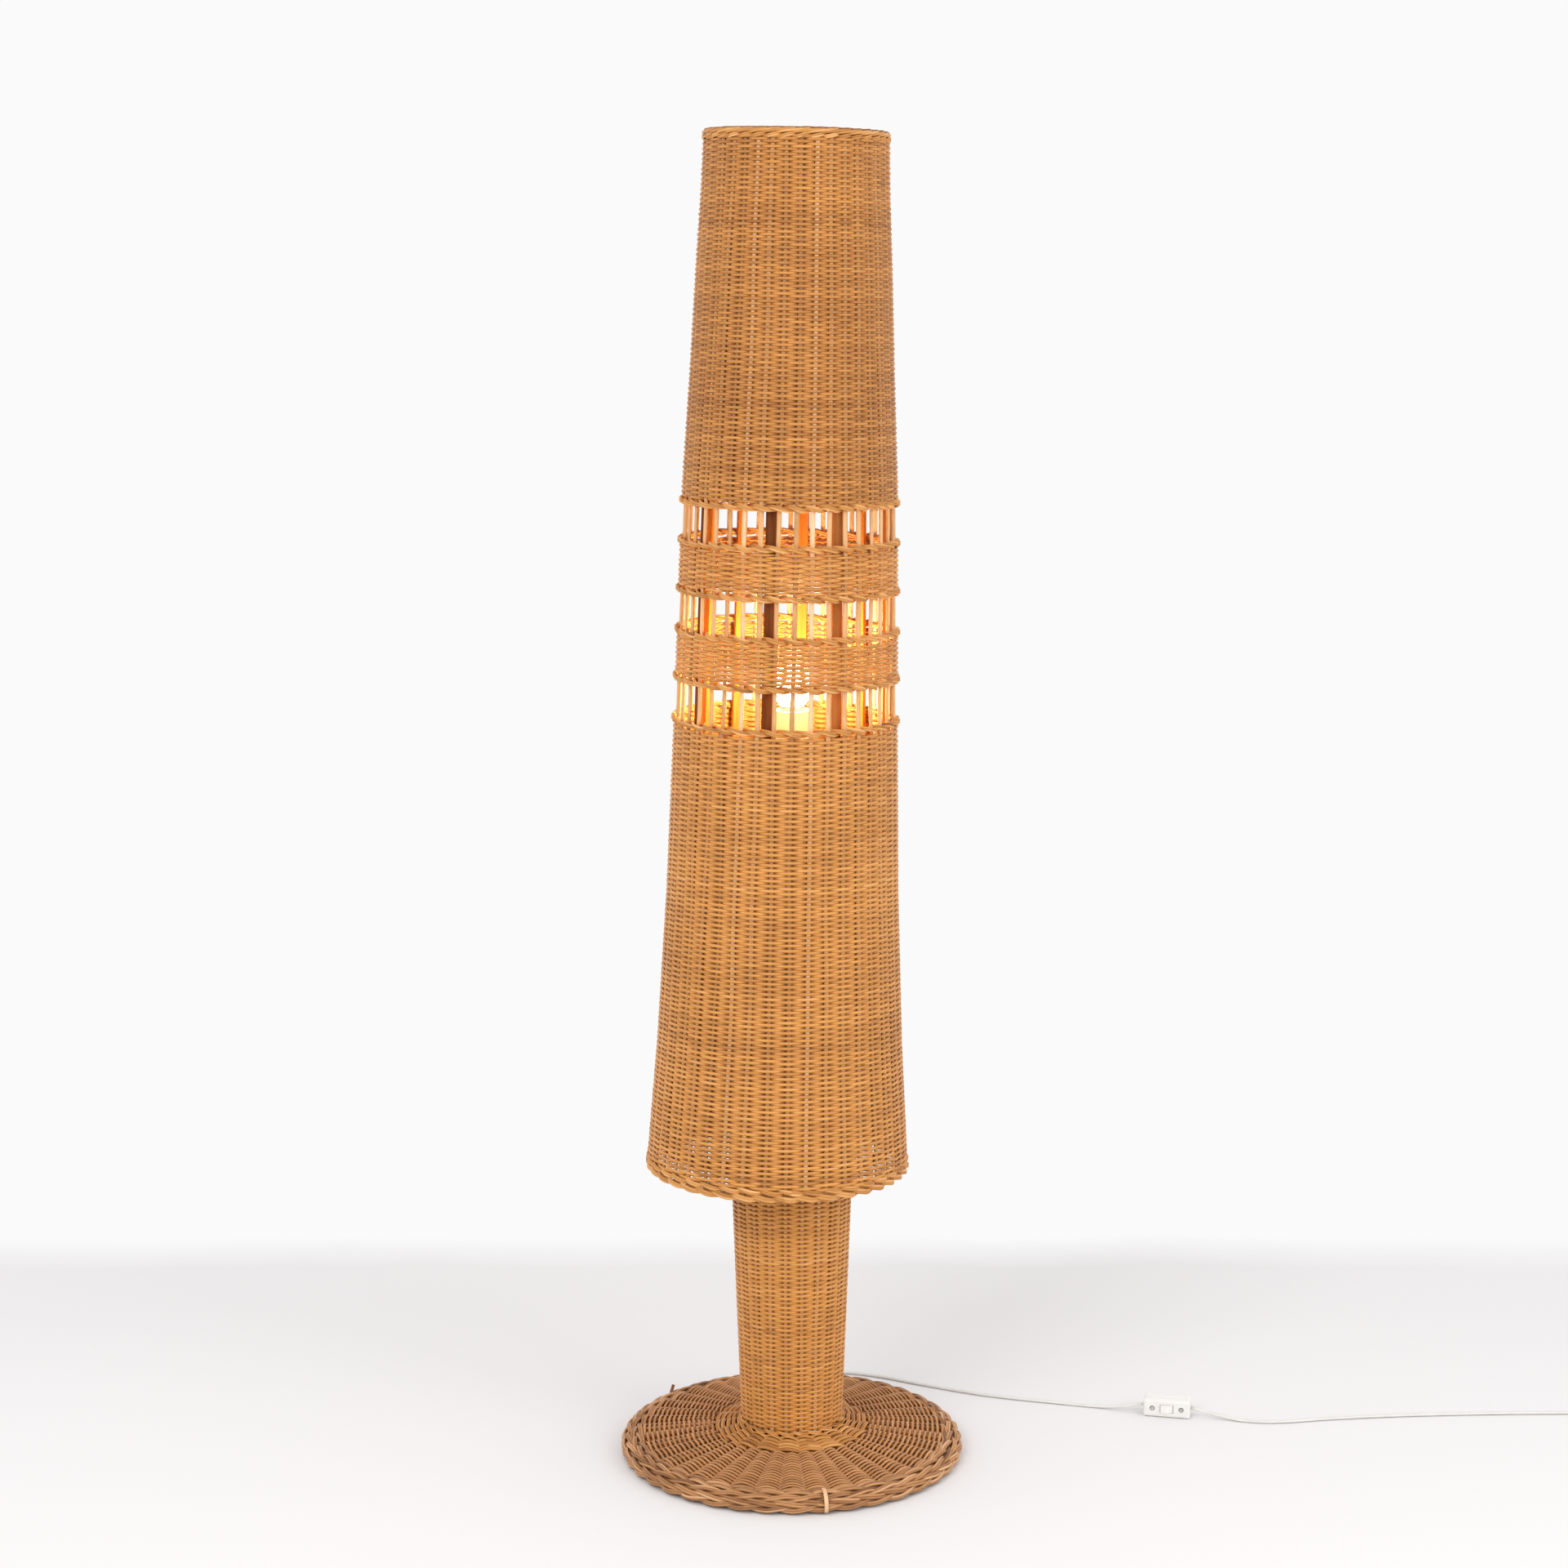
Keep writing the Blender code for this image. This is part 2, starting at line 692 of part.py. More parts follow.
def make_switch(plastic, rocker_plastic, steel):
    length, depth, height = SWITCH_SIZE
    frame = switch_empty()
    half = 0.5 * depth - 0.5 * GAP
    box(
        "switch_base",
        (length, half, height),
        plastic,
        bevel=0.0024,
        parent=frame,
        location=(0, 0.5 * (half + GAP), 0),
    )
    cover = box(
        "switch_cover",
        (length, half, height),
        plastic,
        bevel=0.0024,
        parent=frame,
        location=(0, -0.5 * (half + GAP), 0),
    )
    face = -0.5 * depth
    builder = bmesh.new()
    bmesh.ops.create_cone(
        builder,
        cap_ends=True,
        segments=24,
        radius1=ROCKER_RADIUS + GAP,
        radius2=ROCKER_RADIUS + GAP,
        depth=0.0096,
    )
    pocket = finish(builder, "rocker_pocket", None, parent=frame, location=(0, face, 0), helper=True)
    cut(cover, pocket)
    for name, offset in (("switch_screw_left", -SCREW_OFFSET), ("switch_screw_right", SCREW_OFFSET)):
        screw = turned(
            name,
            [
                (0, 0.0002),
                (0.0024, 0.0002),
                (0.0024, -0.0016),
                (0.0012, -0.0016),
                (0.0012, -0.0050),
                (0, -0.0050),
            ],
            8,
            steel,
            parent=frame,
            location=(offset, face, 0),
        )
        screw.rotation_euler = (math.radians(90), 0, 0)
        hole = turned(
            f"{name}_hole",
            [(0, 0.004), (0.0029, 0.004), (0.0029, -0.0056), (0, -0.0056)],
            12,
            None,
            parent=frame,
            location=(offset, face, 0),
            helper=True,
        )
        hole.rotation_euler = (math.radians(90), 0, 0)
        cut(cover, hole)
    builder = bmesh.new()
    outline = [builder.verts.new((x, y, -0.0045)) for x, y in rocker_outline()]
    base = builder.faces.new(outline)
    grown = bmesh.ops.extrude_face_region(builder, geom=[base])
    moved = [item for item in grown["geom"] if isinstance(item, bmesh.types.BMVert)]
    bmesh.ops.translate(builder, vec=(0, 0, 0.009), verts=moved)
    finish(builder, "switch_rocker", rocker_plastic, parent=frame, location=(0, face, 0))


def smooth_route(points, spacing):
    """Points a set distance apart on a smooth curve through the route's own points."""
    places = [Vector(point) for point in points]
    ends = [2 * places[0] - places[1], *places, 2 * places[-1] - places[-2]]
    fine = []
    for before, start, end, after in zip(ends, ends[1:], ends[2:], ends[3:]):
        for step in range(24):
            t = step / 24
            fine.append(
                0.5
                * (
                    2 * start
                    + (end - before) * t
                    + (2 * before - 5 * start + 4 * end - after) * t * t
                    + (3 * start - before - 3 * end + after) * t**3
                )
            )
    fine.append(places[-1])
    total = sum((b - a).length for a, b in zip(fine, fine[1:]))
    count = max(3, round(total / spacing) + 1)
    wanted = [total * number / (count - 1) for number in range(count)]
    picked, run, index = [fine[0]], 0.0, 0
    for distance in wanted[1:-1]:
        while run + (fine[index + 1] - fine[index]).length < distance:
            run += (fine[index + 1] - fine[index]).length
            index += 1
        share = (distance - run) / (fine[index + 1] - fine[index]).length
        picked.append(fine[index].lerp(fine[index + 1], share))
    return [*picked, fine[-1]]


def cord_tube(name, route, radius, finish_material, spacing=CORD_POINT_SPACING):
    points = smooth_route(route, spacing)
    curve = bpy.data.curves.new(name, "CURVE")
    curve.dimensions = "3D"
    curve.bevel_depth = radius
    curve.bevel_resolution = 2
    curve.use_fill_caps = True
    spline = curve.splines.new("POLY")
    spline.points.add(len(points) - 1)
    for target, point in zip(spline.points, points):
        target.co = (*point, 1.0)
    curve.materials.append(finish_material)
    thing = bpy.data.objects.new(name, curve)
    bpy.context.scene.collection.objects.link(thing)
    return thing


def make_cord(flex, plastic, rubber, brass):
    grommet = ring("cord_grommet", (0.0034, 0.0048), (-0.0110, 0.0), 12, rubber)
    grommet.location = (CORD_EXIT[0], CORD_EXIT[1] + 0.0014, CORD_EXIT[2])
    grommet.rotation_euler = (math.radians(-90), 0, 0)
    hole = turned(
        "grommet_hole",
        [(0, 0.012), (0.0052, 0.012), (0.0052, -0.034), (0, -0.034)],
        12,
        None,
        helper=True,
    )
    hole.location = grommet.location
    hole.rotation_euler = grommet.rotation_euler
    cut(bpy.data.objects["base_border"], hole)
    radius = 0.5 * CORD_WIDTH
    cord_tube("cord_to_switch", ROUTE_TO_SWITCH, radius, flex)
    cord_tube("cord_to_coil", ROUTE_TO_COIL, radius, flex)
    cord_tube("cord_to_plug", ROUTE_TO_PLUG, radius, flex)
    cord_tube("lead_inside", ROUTE_INSIDE, LEAD_RADIUS, flex, spacing=0.0108)
    braid_ring(
        "cord_coil", COIL_RADII, (0.0, COIL_HEIGHT), RING_SIDES, flex, location=(*COIL_CENTRE, 0)
    )
    make_plug(plastic, brass)


def make_plug(plastic, brass):
    """A flat two-pin plug that lies on the floor, its pins towards +Y."""
    width, length, thickness = PLUG_SIZE
    sections = ((0.0, 0.42), (0.30, 0.52), (0.62, 1.0), (1.0, 0.96))
    builder = bmesh.new()
    loops = []
    for place, share in sections:
        half = 0.5 * width * share
        rise = 0.5 * thickness * (0.62 + 0.38 * min(1.0, place / 0.62))
        shape = ((-half, -0.5), (-0.8 * half, -1), (0.8 * half, -1), (half, -0.5))
        shape += tuple((-x, -z) for x, z in shape)
        loops.append([builder.verts.new((x, place * length, z * rise)) for x, z in shape])
    for first, second in zip(loops, loops[1:]):
        for number in range(8):
            following = (number + 1) % 8
            builder.faces.new(
                (first[number], first[following], second[following], second[number])
            )
    builder.faces.new(loops[0])
    builder.faces.new(list(reversed(loops[-1])))
    finish(builder, "plug_body", plastic, location=(*PLUG_BACK, 0.5 * thickness))
    for name, side in (("plug_pin_left", -1), ("plug_pin_right", 1)):
        pin = turned(
            name,
            [
                (0, PIN_LENGTH),
                (PIN_RADIUS * 0.6, PIN_LENGTH),
                (PIN_RADIUS, PIN_LENGTH - 0.0015),
                (PIN_RADIUS, GAP),
                (0, GAP),
            ],
            8,
            brass,
        )
        pin.location = (
            PLUG_BACK[0] + side * 0.5 * PIN_SPACING,
            PLUG_BACK[1] + length,
            0.5 * thickness,
        )
        pin.rotation_euler = (math.radians(-90), 0, 0)


def main():
    clear_scene()
    wicker = material("Honey wicker", (0.52, 0.27, 0.09), 0.45)
    rope = material("Twined cane", (0.42, 0.20, 0.07), 0.5)
    wood = material("Plywood", (0.55, 0.36, 0.18), 0.6)
    iron = material("Cast iron", (0.06, 0.06, 0.06), 0.6, metallic=0.8)
    felt = material("Dark felt", (0.05, 0.05, 0.05), 0.95)
    steel = material("Zinc steel", (0.55, 0.55, 0.55), 0.35, metallic=1.0)
    bakelite = material("White holder plastic", (0.75, 0.74, 0.70), 0.35)
    ceramic = material("Ceramic", (0.80, 0.78, 0.74), 0.3)
    brass = material("Brass", (0.72, 0.52, 0.24), 0.3, metallic=1.0)
    glass = material("Opal glass", (0.95, 0.92, 0.85), 0.2)
    flex = material("White flex", (0.80, 0.80, 0.78), 0.4)
    plastic = material("White plastic", (0.82, 0.82, 0.80), 0.35)
    rubber = material("Grey rubber", (0.35, 0.35, 0.34), 0.7)
    make_foot(wicker, rope, wood, iron, felt)
    make_column(wicker, rope, wood, steel)
    make_lampholder(bakelite, ceramic, brass)
    make_bulb(glass, steel, brass)
    make_shade(wicker, rope, wood)
    make_switch(plastic, plastic, steel)
    make_cord(flex, plastic, rubber, brass)


main()
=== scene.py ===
import math

import bmesh
import bpy
import numpy as np
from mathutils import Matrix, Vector


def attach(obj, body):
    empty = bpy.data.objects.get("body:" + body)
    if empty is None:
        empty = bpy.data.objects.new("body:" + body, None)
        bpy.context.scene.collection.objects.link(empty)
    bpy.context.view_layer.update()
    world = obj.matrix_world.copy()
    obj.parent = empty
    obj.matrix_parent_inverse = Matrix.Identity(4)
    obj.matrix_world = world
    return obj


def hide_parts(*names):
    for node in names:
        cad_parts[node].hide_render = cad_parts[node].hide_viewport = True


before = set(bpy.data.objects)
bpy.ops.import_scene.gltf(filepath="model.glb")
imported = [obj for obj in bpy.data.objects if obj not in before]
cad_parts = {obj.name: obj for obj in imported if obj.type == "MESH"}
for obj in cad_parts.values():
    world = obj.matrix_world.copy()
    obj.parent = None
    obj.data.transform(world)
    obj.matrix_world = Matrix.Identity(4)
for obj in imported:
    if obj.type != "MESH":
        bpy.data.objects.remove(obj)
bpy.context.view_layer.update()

# ---------------------------------------------------------------- sizes, in metres, as the CAD has them
SHADE_LEAN = math.radians(1.056)
LEAN_CROSSES_AXIS_AT = 1.163
# The shade's outline as (height, radius), before it leans
SHADE_OUTLINE = np.array((
    (0.333, 0.1380), (0.373, 0.1354), (0.455, 0.1296), (0.617, 0.1218), (0.786, 0.1169),
    (0.954, 0.1132), (1.047, 0.1108), (1.154, 0.1050), (1.261, 0.1002), (1.342, 0.0958),
    (1.399, 0.0940),
))
SHADE_STAKES = 39
STAKE_FIRST = math.radians(3.5)
STAKE_DEPTH = 0.0041
STAKE_HALF = (0.0026, 0.0018)
WOVEN_STAKE_PROUD = 0.0008
ROPE_HEIGHTS = (1.027, 0.986, 0.936, 0.894, 0.845, 0.801)
SHADE_TOP = 1.3990
SHADE_BOTTOM = 0.3190
BOTTOM_BORDER_RADIUS = 0.1382
# Up to this height the skirt's weaver is thinner behind the stakes
LOOSE_BELOW = SHADE_BOTTOM + 0.052

# The two ends of the column as (height, radius)
COLUMN_FOOT = (0.0336, 0.0544)
COLUMN_TOP = (0.5996, 0.0751)
COLUMN_STAKES = 21
COLUMN_STAKE_FIRST = math.radians(10.4)
COLUMN_STAKE_DEPTH = 0.0040
COLUMN_STAKE_HALF = (0.0025, 0.0016)

FOOT_STAKES = 39
FOOT_RADII = (0.0845, 0.1640)
FOOT_HEIGHTS = (0.0273, 0.0186)
# Rows of rope as (radius, height): round the column's foot, and round the edge with the way each faces
COLLAR_ROWS = ((0.0560, 0.0336), (0.0620, 0.0318), (0.0680, 0.0306), (0.0740, 0.0298), (0.0797, 0.0289))
EDGE_ROWS = (
    (0.1650, 0.0198, 95), (0.1712, 0.0196, 80), (0.1772, 0.0172, 55), (0.1815, 0.0122, 22),
    (0.1818, 0.0060, -12),
)
# A cane end that has worked loose stands up from the edge at the back left
LOOSE_END = ((-0.1350, 0.1135, 0.0140), (-0.1350, 0.1165, 0.0195), (-0.1325, 0.1200, 0.0262))
LOOSE_END_RADIUS = 0.0018
# The pale strip bound over the edge. Its arc has a centre, as (radius, height), a radius, and two ends
BINDING_BEARING = math.radians(11)
BINDING_CENTRE = (0.1720, 0.0095)
BINDING_REACH = 0.0136
BINDING_ARC = (112, -30)

CORD_WIDTH = 0.0054
CORD_THICKNESS = 0.0028
CORD_Z = 0.0016
CORD_EXIT = (0.0100, 0.1896, 0.0065)
SWITCH_END = (0.4458, 0.0925, 0.0100)
ROUTE_TO_SWITCH = (
    CORD_EXIT, (0.0140, 0.2070, 0.0030), (0.0300, 0.2210, CORD_Z), (0.0560, 0.2255, CORD_Z),
    (0.0850, 0.2190, CORD_Z), (0.1150, 0.2060, CORD_Z), (0.1490, 0.1875, CORD_Z),
    (0.2080, 0.1590, CORD_Z), (0.2500, 0.1440, CORD_Z), (0.2960, 0.1310, CORD_Z),
    (0.3400, 0.1190, CORD_Z), (0.3700, 0.1095, 0.0052), (0.3942, 0.1035, 0.0100),
)
ROUTE_TO_COIL = (
    SWITCH_END, (0.4700, 0.0860, 0.0052), (0.4980, 0.0770, CORD_Z), (0.5250, 0.0718, CORD_Z),
    (0.5550, 0.0738, CORD_Z), (0.5880, 0.0800, CORD_Z), (0.6500, 0.0885, CORD_Z),
    (0.7080, 0.0935, CORD_Z), (0.7900, 0.0978, CORD_Z), (0.8680, 0.0992, CORD_Z),
    (0.9160, 0.1000, CORD_Z),
)
ROUTE_TO_PLUG = ((0.9727, 0.1550, 0.0052), (0.9727, 0.1650, 0.0064), (0.9727, 0.1790, 0.0069))
COIL_CENTRE = (0.9400, 0.1345)
# Each turn of the coil as (radius, height) of the flex's middle
COIL_TURNS = (
    (0.0325, 0.0016), (0.0270, 0.0016), (0.0215, 0.0016), (0.0243, 0.0046), (0.0298, 0.0046),
    (0.0270, 0.0076), (0.0322, 0.0062),
)
PLUG_BACK = (0.9727, 0.1753)
PLUG_SIZE = (0.0353, 0.0360, 0.0137)
BULB_RADIUS = 0.0225
BULB_CENTRE = 0.8345
# The narrow end of the glass as (radius, height)
BULB_NECK = (0.0135, 0.8150)
# How far round the glass ball goes, from its top to the neck
BULB_SWEEP = 143
BULB_STRENGTH = 130.0
HOLDER_GLOW_HEIGHTS = (0.775, 0.809)
CAP_RADIUS = 0.0131
CAP_THREAD_DEPTH = 0.0010
CAP_THREAD_STEP = 0.0010

rng = np.random.default_rng(41)

# ---------------------------------------------------------------- the camera, the light and the floor
CAMERA_PLACE = (-0.0084, -3.1206, 1.26)
CAMERA_PITCH = math.radians(9.62)
CAMERA_LENS = 69.5
# The floor ends, as a rounded oblong, this far from its middle in X and in Y
FLOOR_MIDDLE_Y = -0.475
FLOOR_HALF = (2.2, 1.125)
# The plane itself goes on out of sight, just below the felt
FLOOR_PLANE_HALF = 30
FLOOR_LEVEL = -0.0004
# The backdrop, and the floor where it has run into the backdrop, give off the same white
BACKDROP_WHITE = 0.957


def add_camera():
    camera = bpy.data.objects.new("camera", bpy.data.cameras.new("camera"))
    bpy.context.scene.collection.objects.link(camera)
    camera.location = CAMERA_PLACE
    camera.rotation_euler = (math.radians(90) - CAMERA_PITCH, 0, 0)
    camera.data.lens = CAMERA_LENS
    camera.data.sensor_width = 36
    bpy.context.scene.camera = camera


def add_studio():
    bpy.context.scene.view_settings.view_transform = "Standard"
    world = bpy.data.worlds.new("studio")
    bpy.context.scene.world = world
    world.use_nodes = True
    background = world.node_tree.nodes["Background"]
    background.inputs["Color"].default_value = (1.0, 1.0, 1.0, 1)
    background.inputs["Strength"].default_value = BACKDROP_WHITE
    mesh = bpy.data.meshes.new("floor")
    far = FLOOR_PLANE_HALF
    mesh.from_pydata([(-far, -far, 0), (far, -far, 0), (far, far, 0), (-far, far, 0)], [], [(0, 1, 2, 3)])
    floor = bpy.data.objects.new("floor", mesh)
    bpy.context.scene.collection.objects.link(floor)
    floor.location.z = FLOOR_LEVEL
    mesh.materials.append(pale_floor())
    lamp_middle = (0, 0, 0.7)
    add_area_light("key", (-1.6, -2.6, 2.6), lamp_middle, size=1.6, power=38)
    add_area_light("fill", (2.2, -2.0, 1.6), lamp_middle, size=1.8, power=24)


def add_area_light(name, location, target, size, power):
    light = bpy.data.objects.new(name, bpy.data.lights.new(name, "AREA"))
    bpy.context.scene.collection.objects.link(light)
    light.location = location
    light.rotation_euler = (Vector(target) - Vector(location)).to_track_quat("-Z", "Y").to_euler()
    light.data.size = size
    light.data.energy = power


# ---------------------------------------------------------------- materials
class Nodes:
    """A short way to write a material's node tree."""

    def __init__(self, name):
        self.material = bpy.data.materials.new(name)
        self.material.use_nodes = True
        self.tree = self.material.node_tree
        self.shader = self.tree.nodes["Principled BSDF"]

    def add(self, kind, inputs=(), **settings):
        node = self.tree.nodes.new(kind)
        for key, value in settings.items():
            setattr(node, key, value)
        for socket, value in dict(inputs).items():
            self.join(value, node.inputs[socket])
        return node

    def join(self, value, socket):
        if isinstance(value, bpy.types.NodeSocket):
            self.tree.links.new(value, socket)
        elif isinstance(value, bpy.types.Node):
            self.tree.links.new(value.outputs[0], socket)
        else:
            socket.default_value = value

    def maths(self, operation, first, second, clamp=False):
        return self.add("ShaderNodeMath", {0: first, 1: second}, operation=operation, use_clamp=clamp)

    def scaled(self, value, factor, shift):
        """value times factor, plus shift."""
        return self.add("ShaderNodeMath", {0: value, 1: factor, 2: shift}, operation="MULTIPLY_ADD")

    def ramp(self, value, stops):
        node = self.add("ShaderNodeValToRGB", {0: value})
        elements = node.color_ramp.elements
        while len(elements) < len(stops):
            elements.new(0.5)
        for element, (position, colour) in zip(elements, stops):
            element.position = position
            element.color = (*colour, 1)
        return node

    def mix(self, share, first, second):
        """A mix of two colour sockets. 6, 7 and 2 are the Mix node's colour sockets."""
        node = self.add("ShaderNodeMix", {0: share}, data_type="RGBA")
        self.join(first, node.inputs[6])
        self.join(second, node.inputs[7])
        return node.outputs[2]

    def bump(self, height, strength, distance):
        node = self.add("ShaderNodeBump", {"Height": height})
        node.inputs["Strength"].default_value = strength
        node.inputs["Distance"].default_value = distance
        self.tree.links.new(node.outputs[0], self.shader.inputs["Normal"])

    def set(self, **values):
        for key, value in values.items():
            self.join(value, self.shader.inputs[key.replace("_", " ")])


CANE_ROUGHNESS = 0.46
# How far each noise moves a cane's tone up or down
FIBRE_SHIFT, BLOTCH_SHIFT, PATCH_SHIFT = 0.19, 0.15, 0.13


def cane(name, dark, middle, light):
    """Cane or willow. The tone changes from strand to strand, with fine fibres along each one."""
    made = Nodes(name)
    tone = made.add("ShaderNodeAttribute", attribute_name="tone").outputs["Fac"]
    along = made.add("ShaderNodeUVMap", uv_map="strand").outputs[0]
    fibre_place = made.add("ShaderNodeMapping", {"Vector": along, "Scale": (18.0, 9.0, 1.0)})
    fibre = made.add("ShaderNodeTexNoise", {"Vector": fibre_place, "Scale": 1.6, "Detail": 3.0})
    blotch_place = made.add("ShaderNodeMapping", {"Vector": along, "Scale": (60.0, 0.7, 1.0)})
    blotch = made.add("ShaderNodeTexNoise", {"Vector": blotch_place, "Scale": 1.0, "Detail": 2.0})
    around = made.add("ShaderNodeTexCoord").outputs["Object"]
    patch = made.add("ShaderNodeTexNoise", {"Vector": around, "Scale": 9.0, "Detail": 3.0})
    shade = tone
    for noise, shift in ((fibre, FIBRE_SHIFT), (blotch, BLOTCH_SHIFT), (patch, PATCH_SHIFT)):
        shade = made.maths("ADD", made.scaled(noise, 2 * shift, -shift), shade)
    colour = made.ramp(shade, ((0.12, dark), (0.5, middle), (0.88, light)))
    made.set(Base_Color=colour, Roughness=made.scaled(fibre, 0.18, CANE_ROUGHNESS - 0.09))
    made.set(Specular_IOR_Level=0.42)
    made.bump(fibre, 0.35, 0.0004)
    return made.material


def pale_floor():
    """A white floor that is greyer towards its edges, which is painted shade like that where a floor meets a
    wall, then runs into the white backdrop all round.
    """
    made = Nodes("pale floor")
    ground = made.add("ShaderNodeTexCoord").outputs["Object"]
    centred = made.add("ShaderNodeMapping", {
        "Vector": ground, "Location": (0, FLOOR_MIDDLE_Y / FLOOR_HALF[1], 0),
        "Scale": (1 / FLOOR_HALF[0], -1 / FLOOR_HALF[1], 0),
    })
    squared = made.add("ShaderNodeVectorMath", {0: centred.outputs[0], 1: centred.outputs[0]},
                       operation="MULTIPLY")
    total = made.add("ShaderNodeVectorMath", {0: squared.outputs[0], 1: squared.outputs[0]},
                     operation="DOT_PRODUCT")
    # reach is 1 at the floor's edge: the fourth root of x to the fourth plus y to the fourth
    reach = made.maths("POWER", total.outputs["Value"], 0.25)
    scuffs = made.add("ShaderNodeTexNoise", {"Vector": ground, "Scale": 5.0, "Detail": 5.0})
    drift = made.scaled(scuffs, 0.05, -0.025)
    share = made.maths("MULTIPLY", made.maths("ADD", reach, drift), 0.8, clamp=True)
    # Painted shade: the far colour is greyer than the near one, for the soft grey band where the floor meets
    # the backdrop
    near, far, none = (0.825, 0.817, 0.817), (0.775, 0.760, 0.767), (0.0, 0.0, 0.0)
    fade_start, fade_end = 0.77, 0.855
    paint = made.ramp(share, ((0.20, near), (0.66, far), (fade_start, far), (fade_end, none)))
    glow = made.ramp(share, ((fade_start, none), (fade_end, 3 * (BACKDROP_WHITE,))))
    made.set(Base_Color=paint, Roughness=1.0, Specular_IOR_Level=0.0)
    made.set(Emission_Color=glow, Emission_Strength=1.0)
    return made.material


def grained(name, dark, light, scale, roughness, bump=0.2, metallic=0.0, even=True):
    """Wood, felt, metal or plastic. Its grain is even, or drawn out along the height."""
    made = Nodes(name)
    spot = made.add("ShaderNodeTexCoord").outputs["Object"]
    stretch = (1, 1, 1) if even else (1, 1, 0.12)
    stretched = made.add("ShaderNodeMapping", {"Vector": spot, "Scale": stretch})
    noise = made.add("ShaderNodeTexNoise", {"Vector": stretched, "Scale": scale, "Detail": 6.0})
    colour = made.ramp(noise, ((0.3, dark), (0.7, light)))
    made.set(Base_Color=colour, Metallic=metallic, Roughness=made.scaled(noise, 0.16, roughness - 0.08))
    made.bump(noise, bump, 0.0005)
    return made.material


def split_lath(name, shaded_outside_dark, shaded_outside_light):
    """A split lath: the given darker colours on the side that faces out, which are its skin with painted
    shade on it, and pale orange wood on the side that faces in.
    """
    made = Nodes(name)
    coords = made.add("ShaderNodeTexCoord").outputs
    level = made.add("ShaderNodeVectorMath", {0: coords["Object"], 1: (1.0, 1.0, 0.0)}, operation="MULTIPLY")
    outward = made.add("ShaderNodeVectorMath", {0: level}, operation="NORMALIZE")
    facing = made.add("ShaderNodeVectorMath", {0: outward, 1: coords["Normal"]}, operation="DOT_PRODUCT")
    stretched = made.add("ShaderNodeMapping", {"Vector": coords["Object"], "Scale": (1.0, 1.0, 0.05)})
    grain = made.add("ShaderNodeTexNoise", {"Vector": stretched, "Scale": 240.0, "Detail": 5.0})
    # The side that faces out: its skin with painted shade, as the bulb's light does not reach it
    shaded_outside = made.ramp(grain, ((0.3, shaded_outside_dark), (0.7, shaded_outside_light)))
    wood = made.ramp(grain, ((0.3, (0.46, 0.145, 0.018)), (0.7, (0.62, 0.240, 0.040))))
    side = made.add("ShaderNodeMapRange", {0: facing.outputs["Value"], 1: 0.2, 2: 0.6})
    made.set(Base_Color=made.mix(side, wood, shaded_outside), Roughness=0.6, Specular_IOR_Level=0.12)
    made.bump(grain, 0.25, 0.0004)
    return made.material


def lit_glass():
    """Opal glass with the lamp on. It is dim at the neck and bright from 8 mm above it."""
    made = Nodes("lit opal glass")
    spot = made.add("ShaderNodeTexCoord").outputs["Object"]
    height = made.add("ShaderNodeSeparateXYZ", {0: spot}).outputs[2]
    span = 0.02
    share = made.scaled(height, 1 / span, -BULB_NECK[1] / span)
    colour = made.ramp(share, ((0.0, (0.10, 0.07, 0.03)), (0.40, (1.0, 0.76, 0.40))))
    made.set(Base_Color=(0.95, 0.92, 0.84, 1), Roughness=0.25)
    made.set(Emission_Color=colour, Emission_Strength=BULB_STRENGTH)
    return made.material


def glowing_holder():
    """The holder's white plastic, with the bulb's light on it painted in as a glow that is brightest at the
    top.
    """
    made = Nodes("glowing holder plastic")
    spot = made.add("ShaderNodeTexCoord").outputs["Object"]
    height = made.add("ShaderNodeSeparateXYZ", {0: spot}).outputs[2]
    low, high = HOLDER_GLOW_HEIGHTS
    share = made.add("ShaderNodeMapRange", {0: height, 1: low, 2: high})
    stops = ((0.0, (0.0, 0.0, 0.0)), (0.35, (0.42, 0.33, 0.08)), (1.0, (0.62, 0.56, 0.20)))
    made.set(Base_Color=(0.80, 0.76, 0.60, 1), Roughness=0.4)
    # Painted light: the glow of the bulb above, set as emission
    made.set(Emission_Color=made.ramp(share, stops), Emission_Strength=1.0)
    return made.material


# ---------------------------------------------------------------- strands as one mesh
# Two strands' length maps lie this far apart, so that their fibres differ
MAP_GAP = 0.37


